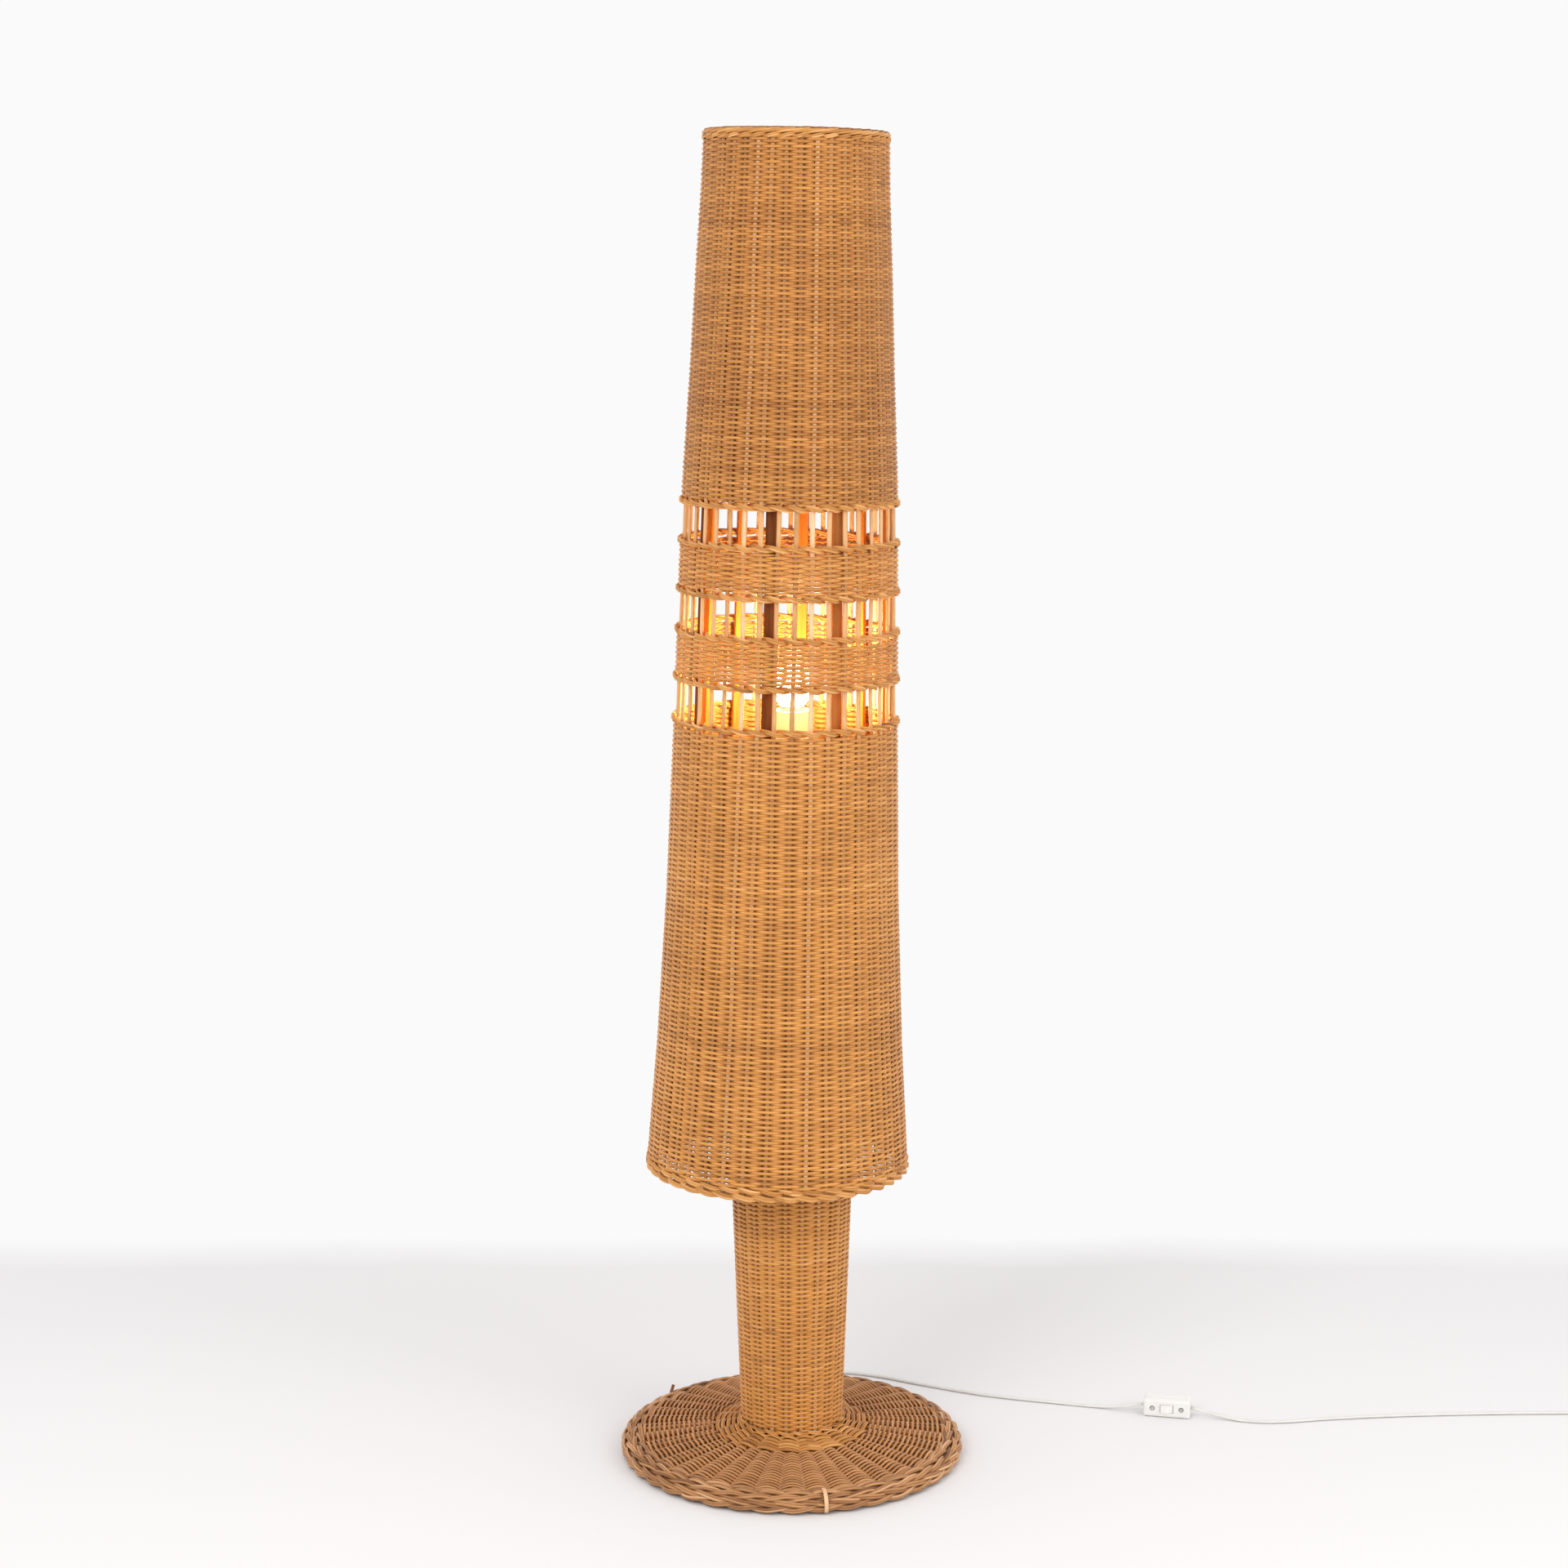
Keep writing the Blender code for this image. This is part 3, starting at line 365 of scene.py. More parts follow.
class Strands:
    """Many swept strands that become one piece. Each has a closed skin, a tone and its own length map."""

    def __init__(self):
        self.points, self.quads, self.caps = [], [], []
        self.quad_maps, self.tones = [], []
        self.count = 0
        self.offset = 0.0

    def sweep(self, path, guide, half_sizes, sides=5, loop=False, tone=0.5, outline=None):
        """path is n points, guide is the outward direction at each, and half_sizes is (across, out)."""
        path = np.asarray(path, float)
        steps = len(path)
        if loop:
            tangent = np.roll(path, -1, 0) - np.roll(path, 1, 0)
        else:
            tangent = np.gradient(path, axis=0)
        tangent /= np.linalg.norm(tangent, axis=1, keepdims=True)
        out = np.broadcast_to(np.asarray(guide, float), path.shape)
        out = out - tangent * (out * tangent).sum(1, keepdims=True)
        out = out / np.linalg.norm(out, axis=1, keepdims=True)
        across = np.cross(tangent, out)
        if outline is None:
            turn = math.tau * (np.arange(sides) + 0.5) / sides
            outline = np.stack([np.sin(turn), np.cos(turn)], 1)
        sides = len(outline)
        wide = np.broadcast_to(half_sizes[0], (steps,)).reshape(-1, 1, 1)
        deep = np.broadcast_to(half_sizes[1], (steps,)).reshape(-1, 1, 1)
        ring = path[:, None] + across[:, None] * outline[None, :, :1] * wide
        ring = ring + out[:, None] * outline[None, :, 1:] * deep
        self.points.append(ring.reshape(-1, 3))
        tone = np.broadcast_to(tone, (steps,))
        self.tones.append(np.repeat(tone, sides))
        rows = np.arange(steps if loop else steps - 1)
        columns = np.arange(sides)
        i, j = (grid.ravel() for grid in np.meshgrid(rows, columns, indexing="ij"))
        after_i, after_j = (i + 1) % steps, (j + 1) % sides
        corners = np.stack(
            [i * sides + j, i * sides + after_j, after_i * sides + after_j, after_i * sides + j], 1
        )
        self.quads.append(corners + self.count)
        length = np.concatenate([[0], np.cumsum(np.linalg.norm(np.diff(path, axis=0), axis=1))])
        closing = length[-1] + np.linalg.norm(path[0] - path[-1])
        after_length = np.concatenate([length[1:], [closing]])
        first, last = length[i] + self.offset, after_length[i] + self.offset
        low, high = j / sides, (j + 1) / sides
        self.quad_maps.append(
            np.stack(
                [np.stack(pair, 1) for pair in ((first, low), (first, high), (last, high), (last, low))],
                1,
            )
        )
        if not loop:
            start = self.count + np.arange(sides)
            end = self.count + (steps - 1) * sides + np.arange(sides)
            self.caps.append(start[::-1])
            self.caps.append(end)
        self.count += steps * sides
        self.offset += closing + MAP_GAP

    def build(self, name, material):
        points = np.concatenate(self.points)
        quads = np.concatenate(self.quads)
        mesh = bpy.data.meshes.new(name)
        mesh.vertices.add(len(points))
        mesh.vertices.foreach_set("co", points.astype(np.float32).ravel())
        loops = quads.ravel()
        starts = np.arange(len(quads)) * 4
        maps = np.concatenate(self.quad_maps).reshape(-1, 2)
        if self.caps:
            ends = len(loops) + np.cumsum([0] + [len(cap) for cap in self.caps])
            starts = np.concatenate([starts, ends[:-1]])
            loops = np.concatenate([loops, *self.caps])
        maps = np.concatenate([maps, np.zeros((len(loops) - len(maps), 2))])
        mesh.loops.add(len(loops))
        mesh.loops.foreach_set("vertex_index", loops.astype(np.int32))
        mesh.polygons.add(len(starts))
        mesh.polygons.foreach_set("loop_start", starts.astype(np.int32))
        mesh.polygons.foreach_set("use_smooth", np.ones(len(starts), bool))
        mesh.update(calc_edges=True)
        layer = mesh.uv_layers.new(name="strand")
        layer.data.foreach_set("uv", maps.astype(np.float32).ravel())
        tone = mesh.attributes.new("tone", "FLOAT", "POINT")
        tone.data.foreach_set("value", np.concatenate(self.tones).astype(np.float32))
        mesh.materials.append(material)
        piece = bpy.data.objects.new(name, mesh)
        bpy.context.scene.collection.objects.link(piece)
        return piece


def place(piece, body, slot, *nodes):
    """Says what body the piece rides on, and the CAD nodes that it replaces, which it hides. The slot is not
    used.
    """
    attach(piece, body)
    if nodes:
        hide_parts(*nodes)
    return piece


# The mean length of one cane in a long weaver, and how far the tones of its canes spread
CANE_RUN = 0.7
TONE_SPREAD = 0.05


def wander(steps, cycles, size):
    """A smooth, random drift over a run of points. It is the sum of five waves, each quicker and smaller."""
    t = np.linspace(0, 1, steps)
    total = np.zeros(steps)
    for number in range(1, 6):
        total += rng.normal() * np.sin(math.tau * (cycles * number * 0.71 * t + rng.random())) / number
    return size * total / 1.5


def ease(share):
    """From 0 to 1 with a soft start and a soft end."""
    share = np.clip(share, 0, 1)
    return share * share * (3 - 2 * share)


def tones(lengths, middle):
    """A tone for each point of a long weaver, which is made of canes 0.35 to 1.05 m long."""
    total = lengths[-1]
    joints, at = [], 0.0
    while at < total:
        at += CANE_RUN * (0.5 + rng.random())
        joints.append(at)
    shades = middle + TONE_SPREAD * rng.normal(size=len(joints) + 1)
    return shades[np.searchsorted(joints, lengths)]


def polar(radius, bearing, height):
    """Points round the Z axis. A bearing of 0 faces the camera, and it grows towards +X."""
    return np.stack([radius * np.sin(bearing), -radius * np.cos(bearing), height + 0 * bearing], -1)


def upright(points):
    """The column and the foot stand upright. This is what they pass where the shade passes leaning."""
    return points


def leaning(points):
    """From the shade's own upright frame to where the shade stands."""
    points = np.array(points, float)
    x, z = points[..., 0].copy(), points[..., 2].copy()
    cos, sin = math.cos(SHADE_LEAN), math.sin(SHADE_LEAN)
    points[..., 0] = x * cos + z * sin - LEAN_CROSSES_AXIS_AT * sin
    points[..., 2] = z * cos - x * sin + LEAN_CROSSES_AXIS_AT * (1 - cos)
    return points


def shade_radius(height):
    return np.interp(height, SHADE_OUTLINE[:, 0], SHADE_OUTLINE[:, 1])


def column_radius(height):
    return np.interp(height, (COLUMN_FOOT[0], COLUMN_TOP[0]), (COLUMN_FOOT[1], COLUMN_TOP[1]))


# ---------------------------------------------------------------- weaves, ropes and borders
# The section of a cane that is pressed flat by its neighbours, as shares of its half height and depth
FLAT_CANE = np.array(((0.60, 0.86), (1.0, 0.0), (0.60, -0.86), (-0.60, -0.86), (-1.0, 0.0), (-0.60, 0.86)))
# The spiral weaver: its points per stake, its cane's radius, how far it stands out of the stakes' line,
# and how full its rows are in front of a stake
WEAVER_STEPS = 8
WEAVER_CANE = 0.00130
WEAVER_PROUD = 0.0006
WEAVER_FRONT = 0.64
# The ropes: their points per stake, and those of the border rope with its cane's radius
ROPE_STEPS = 10
WALE_STEPS = 5
WALE_CANE = 0.0015


def weave(stakes, first, span, radius, pitch, place_points, depth, pieces, stake, tone, between, backing,
          loose_below=0.0):
    """A spiral weaver that passes in front of and behind an odd number of stakes in turn.

    It stays out on the face between the stakes and dives just beside each stake that it passes behind,
    which leaves a dark dot on either side of that stake. It is one cane from bottom to top, cut into a
    few pieces that meet end to end. Stake is the stakes' half depth. Between and backing say how full
    the rows are between the stakes and behind them; below loose_below they are thinner behind them."""
    low, high = span
    turns = (high - low) / pitch
    steps = int(turns * stakes * WEAVER_STEPS)
    at = np.arange(steps) / (stakes * WEAVER_STEPS)
    bearing = first + math.tau * at
    reach = stake + 0.75 * WEAVER_CANE
    # wave is 1 in front of a stake and -1 behind the next one
    wave = np.cos(math.pi * at * stakes)
    dive = ease((-wave - 0.10) / 0.60)
    on_face = 0.68 + np.where(wave > 0, 0.32, 0.10) * wave
    behind_stake = 0.90 * np.clip((-wave - 0.70) / 0.22, 0, 1)
    swing = on_face - dive * (on_face + 0.10) - behind_stake
    row_drift = wander(steps, turns * 2.3, 0.00007) + wander(steps, turns * 9.1, 0.00004)
    height = low + pitch * at + row_drift
    around = radius(height) - depth + WEAVER_PROUD + reach * swing + wander(steps, turns * 3.7, 0.00020)
    path = place_points(polar(around, bearing, height))
    guide = polar(np.ones(steps), bearing, np.zeros(steps))
    shades = tones(at * math.tau * float(radius(0.5 * (low + high))), tone)
    size = WEAVER_CANE * (1 + wander(steps, turns * 1.3, 0.04))
    behind = 0.5 + np.where(height < loose_below, 0.20, backing)
    share = np.where(wave > 0, np.sqrt(np.abs(wave)), dive)
    fullness = between + (np.where(wave > 0, WEAVER_FRONT, behind) - between) * share
    tall = size * fullness * pitch / WEAVER_CANE
    cuts = np.linspace(0, steps - 1, pieces + 1).astype(int)
    made = []
    for start, end in zip(cuts, cuts[1:]):
        run = slice(start, end + 1)
        strands = Strands()
        strands.sweep(path[run], guide[run], (tall[run], size[run]), outline=FLAT_CANE, tone=shades[run])
        made.append(strands)
    return made


def wale(strands, stakes, first, height, radius, depth, place_points, period, rise, reach, slope=1):
    """A rope of strands that each pass outside several stakes and then inside one, once in a period."""
    out_share = 0.62
    loops = math.gcd(stakes, period)
    for number in range(loops):
        steps = stakes * period // loops * WALE_STEPS
        at = np.arange(steps) / WALE_STEPS
        bearing = first + math.tau * (at + number) / stakes
        phase = (at % period) / period
        outside = phase / out_share
        inside = (phase - out_share) / (1 - out_share)
        is_out = phase < out_share
        swing = np.where(is_out, np.sin(math.pi * np.clip(outside, 0, 1)) ** 0.55,
                         -np.sin(math.pi * np.clip(inside, 0, 1)) ** 0.8)
        climb = np.where(is_out, 1 - 2 * outside, -1 + 2 * inside)
        level = height + slope * rise * climb + wander(steps, period * 3, 0.0002)
        around = radius(level) - depth + reach * swing
        path = place_points(polar(around, bearing, level))
        guide = polar(np.ones(steps), bearing, np.zeros(steps))
        run = rng.integers(0, 5) + np.floor(at / period).astype(int)
        shades = 0.5 + 0.13 * rng.normal(size=run.max() + 1)
        strands.sweep(path, guide, (WALE_CANE, WALE_CANE), sides=6, loop=True, tone=shades[run])


def twine(strands, stakes, first, height, radius, depth, place_points, rise=0.00175, reach=0.0047,
          cane_size=0.00140, apart=0.00120, slope=1, tone=0.5, proud=0.0008):
    """A rope of two strands that twist round each other between the stakes. Each strand is two canes."""
    loops = math.gcd(stakes, 2)
    for number in range(loops):
        steps = stakes * 2 // loops * ROPE_STEPS
        at = np.arange(steps) / ROPE_STEPS
        bearing = first + math.tau * (at + number) / stakes
        turn = math.pi * at
        swing = np.cos(turn)
        swing = np.sign(swing) * np.abs(swing) ** 0.9
        level = height - slope * rise * np.sin(turn) + wander(steps, 5, 0.00025)
        run = np.floor(at / 2 + 0.5).astype(int)
        shades = tone + 0.11 * rng.normal(size=(2, run.max() + 1))
        guide = polar(np.ones(steps), bearing, np.zeros(steps))
        for side in (0, 1):
            lift = apart * (1 - 2 * side) * (0.80 + 0.20 * np.abs(np.cos(turn)))
            around = radius(level) - depth + proud + reach * swing
            path = place_points(polar(around, bearing, level + lift))
            size = cane_size * (1 + wander(steps, 7, 0.05))
            strands.sweep(path, guide, (size, size), sides=7, loop=True, tone=shades[side][run])


# A stake has a point at every 12 mm, and strays to the side by 1.2 mm on a radius of 110 mm, as an angle
STAKE_STEP = 0.012
STAKE_DRIFT = 0.001225 / 0.11


def stake_paths(strands, stakes, first, span, radius, depth, place_points, size, woven):
    """Stakes stand out where they are woven in, which is where woven gives more than 0, and there they are
    painted darker as painted shade from the rows that cover them.
    """
    low, high = span
    levels = np.linspace(low, high, int((high - low) / STAKE_STEP) + 2)
    count = len(levels)
    for number in range(stakes):
        bearing = first + math.tau * number / stakes + wander(count, 2.2, STAKE_DRIFT)
        around = radius(levels) - depth + WOVEN_STAKE_PROUD * woven(levels) + wander(count, 3, 0.0002)
        path = place_points(polar(around, bearing, levels))
        guide = polar(np.ones(count), bearing, np.zeros(count))
        width = (1 + 0.06 * rng.normal()) * (1 + wander(count, 5, 0.03))
        # Painted shade: the tone is lower where the stakes are woven in
        shades = 0.60 + 0.10 * rng.normal() - 0.12 * woven(levels)
        strands.sweep(path, guide, (size[0] * width, size[1] * width), sides=8, tone=shades)


def outside_open_rings(levels):
    """1 where the shade's stakes are woven in, and 0 in the three open rings."""
    share = np.ones_like(levels)
    for top, bottom in zip(ROPE_HEIGHTS[0::2], ROPE_HEIGHTS[1::2]):
        share[(levels > bottom) & (levels < top)] = 0
    return share


def make_shade(wicker, rope, stakes_look):
    # Each woven part starts and ends this far from the middle of a rope
    clear, clear_low = 0.0046, 0.0034
    spans = {
        "skirt": (SHADE_BOTTOM + 0.0118, ROPE_HEIGHTS[5] - clear),
        "band_lower": (ROPE_HEIGHTS[4] + clear_low, ROPE_HEIGHTS[3] - clear),
        "band_upper": (ROPE_HEIGHTS[2] + clear_low, ROPE_HEIGHTS[1] - clear),
        "top": (ROPE_HEIGHTS[0] + clear_low, SHADE_TOP - 0.0085),
    }
    # Each woven part's node, pitch of its rows, number of pieces, tone, and how full its rows are
    # between the stakes and behind them
    parts = {
        "skirt": ("weave_skirt", 0.00265, 4, 0.42, 0.60, 0.42),
        "band_lower": ("weave_band_lower", 0.00255, 1, 0.46, 0.54, -0.12),
        "band_upper": ("weave_band_upper", 0.00255, 1, 0.46, 0.54, -0.10),
        "top": ("weave_top", 0.00250, 3, 0.31, 0.60, 0.38),
    }
    for part, (node, pitch, pieces, tone, between, backing) in parts.items():
        made = weave(
            SHADE_STAKES, STAKE_FIRST, spans[part], shade_radius, pitch, leaning, STAKE_DEPTH, pieces,
            STAKE_HALF[1], tone, between, backing, loose_below=LOOSE_BELOW,
        )
        for number, strands in enumerate(made, start=1):
            name = f"woven_{part}_{number}" if pieces > 1 else f"woven_{part}"
            place(strands.build(name, wicker), "shade", "wicker", node)
    strands = Strands()
    stake_paths(
        strands, SHADE_STAKES, STAKE_FIRST, (SHADE_BOTTOM + 0.006, SHADE_TOP - 0.006), shade_radius,
        STAKE_DEPTH, leaning, STAKE_HALF, outside_open_rings,
    )
    place(
        strands.build("shade_stakes", stakes_look), "shade", "stakes",
        "open_stakes_upper", "open_stakes_middle", "open_stakes_lower",
    )
    for number, height in enumerate(ROPE_HEIGHTS, start=1):
        strands = Strands()
        twine(strands, SHADE_STAKES, STAKE_FIRST, height, shade_radius, STAKE_DEPTH, leaning)
        place(strands.build(f"rope_{number}", rope), "shade", "twined_cane", f"twined_rope_{number}")
    strands = Strands()
    wale(
        strands, SHADE_STAKES, STAKE_FIRST, SHADE_TOP - 0.0030, shade_radius, STAKE_DEPTH, leaning,
        period=4, rise=0.0021, reach=0.0040, slope=-1,
    )
    twine(
        strands, SHADE_STAKES, STAKE_FIRST, SHADE_TOP - 0.0074, shade_radius, STAKE_DEPTH, leaning,
        rise=0.0012, slope=-1, cane_size=0.0012, apart=0.0010, reach=0.0040, proud=0.0004,
    )
    # A thin dark twine along the very top edge: its low tone is painted shade along the rim
    twine(
        strands, SHADE_STAKES, STAKE_FIRST, SHADE_TOP - 0.0006, shade_radius, STAKE_DEPTH + 0.0004, leaning,
        rise=0.0003, slope=-1, cane_size=0.0009, apart=0.0005, reach=0.0030, proud=0.0, tone=-0.15,
    )
    place(strands.build("top_braid", rope), "shade", "braided_border", "top_border")
    strands = Strands()
    twine(
        strands, SHADE_STAKES, STAKE_FIRST, SHADE_BOTTOM + 0.0040, bottom_radius, STAKE_DEPTH, leaning,
        rise=0.0017, cane_size=0.00165, apart=0.00135, reach=0.0036, proud=0.0012,
    )
    twine(
        strands, SHADE_STAKES, STAKE_FIRST + 0.05, SHADE_BOTTOM + 0.0104, bottom_radius, STAKE_DEPTH,
        leaning, rise=0.0013, cane_size=0.00145, apart=0.00115, reach=0.0036,
    )
    place(strands.build("bottom_braid", rope), "shade", "braided_border", "bottom_border")


def bottom_radius(height):
    """The bottom border is upright, so its radius is the same at every height."""
    return np.full_like(height, BOTTOM_BORDER_RADIUS)


def make_column(wicker, rope, stakes_look):
    made = weave(
        COLUMN_STAKES, COLUMN_STAKE_FIRST, (COLUMN_FOOT[0] + 0.006, COLUMN_TOP[0] - 0.006), column_radius,
        0.00254, upright, COLUMN_STAKE_DEPTH, 3, COLUMN_STAKE_HALF[1], tone=0.45, between=0.60, backing=0.50,
    )
    for number, strands in enumerate(made, start=1):
        place(strands.build(f"woven_column_{number}", wicker), "stand", "wicker", "column_weave")
    strands = Strands()
    stake_paths(
        strands, COLUMN_STAKES, COLUMN_STAKE_FIRST, (COLUMN_FOOT[0] - 0.004, COLUMN_TOP[0] - 0.002),
        column_radius, COLUMN_STAKE_DEPTH, upright, COLUMN_STAKE_HALF, np.ones_like,
    )
    place(strands.build("column_stakes", stakes_look), "stand", "stakes")
    strands = Strands()
    twine(
        strands, COLUMN_STAKES, COLUMN_STAKE_FIRST, 0.0372, column_radius, COLUMN_STAKE_DEPTH - 0.0010,
        upright, rise=0.0010, cane_size=0.0012, apart=0.0009, reach=0.0036,
    )
    for middle, level in COLLAR_ROWS:
        ring_rope(
            strands, COLUMN_STAKES, COLUMN_STAKE_FIRST + middle, middle, level, math.radians(84),
            rise=0.0013, reach=0.0024, cane_size=0.00125, apart=0.00105, tone=0.44,
        )
    place(strands.build("collar_rope", rope), "stand", "twined_cane", "foot_collar")
    strands = Strands()
    wale(
        strands, COLUMN_STAKES, COLUMN_STAKE_FIRST, COLUMN_TOP[0] - 0.0038, column_radius,
        COLUMN_STAKE_DEPTH, upright, period=3, rise=0.0016, reach=0.0045,
    )
    place(strands.build("column_top_braid", rope), "stand", "twined_cane", "column_top_rope")


def foot_height(radius):
    return np.interp(radius, FOOT_RADII, FOOT_HEIGHTS)


def make_foot(wicker, rope, stakes_look):
    """A nearly flat woven cone. Its spokes show as ribs, and thick canes run round its edge."""
    pitch, per_spoke = 0.0027, 6
    inner, outer = FOOT_RADII
    turns = (outer - inner) / pitch
    steps = int(turns * FOOT_STAKES * per_spoke)
    at = np.arange(steps) / (FOOT_STAKES * per_spoke)
    bearing = math.tau * at
    radius = outer - pitch * at + wander(steps, turns * 2.1, 0.00012)
    slope = math.atan2(FOOT_HEIGHTS[0] - FOOT_HEIGHTS[1], outer - inner)
    # The weaver goes over one spoke and under the next, and rises a little over each. It is flatter
    # near the middle, where the spokes are closer together
    wave = np.cos(math.pi * at * FOOT_STAKES)
    over_and_under = 0.0032 * np.sign(wave) * np.abs(wave) ** 0.8
    lift = over_and_under + 0.0007 * np.cos(2 * math.pi * at * FOOT_STAKES)
    narrow = np.clip(radius / outer, 0.45, 1)
    height = foot_height(radius) + lift * math.cos(slope) * narrow**0.5
    around = radius + lift * math.sin(slope)
    path = polar(around, bearing, height)
    normal = polar(np.full(steps, math.sin(slope)), bearing, np.full(steps, math.cos(slope)))
    lengths = np.cumsum(radius * math.tau / (FOOT_STAKES * per_spoke))
    wide = pitch * (0.51 + 0.07 * np.abs(wave) ** 0.7)
    strands = Strands()
    strands.sweep(path, normal, (wide, 0.0011), sides=6, tone=tones(lengths, 0.40))
    place(strands.build("woven_foot", wicker), "stand", "wicker", "base_cover")
    strands = Strands()
    for number in range(FOOT_STAKES):
        spoke_bearing = math.tau * number / FOOT_STAKES + 0.004 * rng.normal()
        radii = np.linspace(inner - 0.003, outer + 0.004, 10)
        path = polar(radii, np.full(len(radii), spoke_bearing), foot_height(radii))
        strands.sweep(path, (0, 0, 1), (0.0020, 0.0019), sides=7, tone=0.20 + 0.1 * rng.normal())
    place(strands.build("foot_spokes", stakes_look), "stand", "stakes")
    strands = Strands()
    for number, (middle, level, facing) in enumerate(EDGE_ROWS):
        ring_rope(
            strands, FOOT_STAKES, 0.05 * number, middle, level, math.radians(facing), rise=0.0015,
            reach=0.0026, cane_size=0.00145, apart=0.00125, tone=0.40, way=1 if number % 2 else -1,
        )
    strands.sweep(LOOSE_END, (-0.76, 0.65, 0.0), (LOOSE_END_RADIUS, LOOSE_END_RADIUS), sides=8, tone=0.1)
    place(strands.build("foot_braid", rope), "stand", "braided_border", "base_border")
    strands = Strands()
    facing = np.radians(np.linspace(*BINDING_ARC, 22))
    around = BINDING_CENTRE[0] + BINDING_REACH * np.cos(facing)
    height = BINDING_CENTRE[1] + BINDING_REACH * np.sin(facing)
    bearing = np.full_like(facing, BINDING_BEARING)
    guide = polar(np.cos(facing), bearing, np.sin(facing))
    strands.sweep(polar(around, bearing, height), guide, (0.0023, 0.0006), sides=8, tone=0.85)
    place(strands.build("edge_binding", rope), "stand", "twined_cane")


def ring_rope(strands, stakes, first, middle, level, facing, rise, reach, cane_size, apart, tone, way=1):
    """A twined rope on the foot. It faces up on the cone and outwards at the rim."""
    loops = math.gcd(stakes, 2)
    for number in range(loops):
        steps = stakes * 2 // loops * ROPE_STEPS
        at = np.arange(steps) / ROPE_STEPS
        bearing = first + math.tau * (at + number) / stakes
        turn = math.pi * at
        swing = np.cos(turn)
        swing = reach * np.sign(swing) * np.abs(swing) ** 0.9 - 0.5 * reach
        run = np.floor(at / 2 + 0.5).astype(int)
        shades = tone + 0.12 * rng.normal(size=(2, run.max() + 1))
        guide = polar(np.full(steps, math.cos(facing)), bearing, np.full(steps, math.sin(facing)))
        drift = wander(steps, 6, 0.0003)
        for side in (0, 1):
            across = drift - way * rise * np.sin(turn) + apart * (1 - 2 * side)
            around = middle + swing * math.cos(facing) - across * math.sin(facing)
            height = level + swing * math.sin(facing) + across * math.cos(facing)
            size = cane_size * (1 + wander(steps, 7, 0.06))
            strands.sweep(
                polar(around, bearing, height), guide, (size, size), sides=7, loop=True,
                tone=shades[side][run],
            )


# ---------------------------------------------------------------- lathe work: bulb and holder
def turned(name, outline, material, sides=48):
    """A turned piece from (radius, height) points. Both ends of the outline are on the axis."""
    builder = bmesh.new()
    points = [builder.verts.new((radius, 0, height)) for radius, height in outline]
    edges = [builder.edges.new(pair) for pair in zip(points, points[1:])]
    bmesh.ops.spin(
        builder, geom=points + edges, cent=(0, 0, 0), axis=(0, 0, 1), angle=math.tau, steps=sides,
        use_merge=True,
    )
    bmesh.ops.remove_doubles(builder, verts=builder.verts, dist=1e-6)
    bmesh.ops.recalc_face_normals(builder, faces=builder.faces)
    mesh = bpy.data.meshes.new(name)
    builder.to_mesh(mesh)
    builder.free()
    mesh.shade_smooth()
    mesh.set_sharp_from_angle(angle=math.radians(40))
    mesh.materials.append(material)
    piece = bpy.data.objects.new(name, mesh)
    bpy.context.scene.collection.objects.link(piece)
    return piece


def make_bulb(glass, metal):
    outline = [(0, BULB_CENTRE + BULB_RADIUS)]
    bands = 24
    for band_number in range(1, bands + 1):
        tilt = math.radians(90 - BULB_SWEEP * band_number / bands)
        outline.append((BULB_RADIUS * math.cos(tilt), BULB_CENTRE + BULB_RADIUS * math.sin(tilt)))
    outline += [BULB_NECK, (0, BULB_NECK[1])]
    place(turned("lit_bulb", outline, glass), "bulb", "opal_glass", "bulb_glass")
    top = BULB_NECK[1] - 0.0009
    thread_top = top - 0.0016
    thread = [(0, top), (0.0128, top), (CAP_RADIUS, thread_top)]
    for step in range(1, 22):
        radius = CAP_RADIUS if step % 3 else CAP_RADIUS - CAP_THREAD_DEPTH
        thread.append((radius, thread_top - step * CAP_THREAD_STEP))
    thread += [(0.0122, top - 0.0236), (0.0080, top - 0.0256), (0, top - 0.0256)]
    place(turned("bulb_thread", thread, metal, 32), "bulb", "bulb_cap_metal", "bulb_screw_cap")


# ---------------------------------------------------------------- the flex
def smooth(points, spacing):
    """Evenly spaced points along a smooth curve that passes through the given ones."""
    parts = 24
    places = [Vector(point) for point in points]
    ends = [2 * places[0] - places[1], *places, 2 * places[-1] - places[-2]]
    fine = []
    for before, start, end, after in zip(ends, ends[1:], ends[2:], ends[3:]):
        for step in range(parts):
            t = step / parts
            fine.append(0.5 * (
                2 * start + (end - before) * t + (2 * before - 5 * start + 4 * end - after) * t * t
                + (3 * start - before - 3 * end + after) * t**3
            ))
    fine.append(places[-1])
    fine = np.array(fine)
    run = np.concatenate([[0], np.cumsum(np.linalg.norm(np.diff(fine, axis=0), axis=1))])
    wanted = np.linspace(0, run[-1], max(4, round(run[-1] / spacing) + 1))
    return np.stack([np.interp(wanted, run, fine[:, axis]) for axis in range(3)], 1)


def coil_points():
    """The turns of the coil. It starts towards +X at the front and leaves towards +Y at the right."""
    steps_per_turn = 28
    turns = np.arange(0, len(COIL_TURNS) - 1 + 0.25, 1 / steps_per_turn)
    radii, heights = np.array(COIL_TURNS).T
    number = np.minimum(np.floor(turns).astype(int), len(COIL_TURNS) - 2)
    # In the last 0.28 of each turn the flex moves over to the next one
    share = ease((turns - number - 0.72) / 0.28)
    radius = radii[number] * (1 - share) + radii[number + 1] * share
    height = heights[number] * (1 - share) + heights[number + 1] * share
    angle = -math.pi / 2 + math.tau * turns
    x = COIL_CENTRE[0] + radius * np.cos(angle) * 1.02
    y = COIL_CENTRE[1] + radius * np.sin(angle)
    return np.stack([x, y, height], 1)


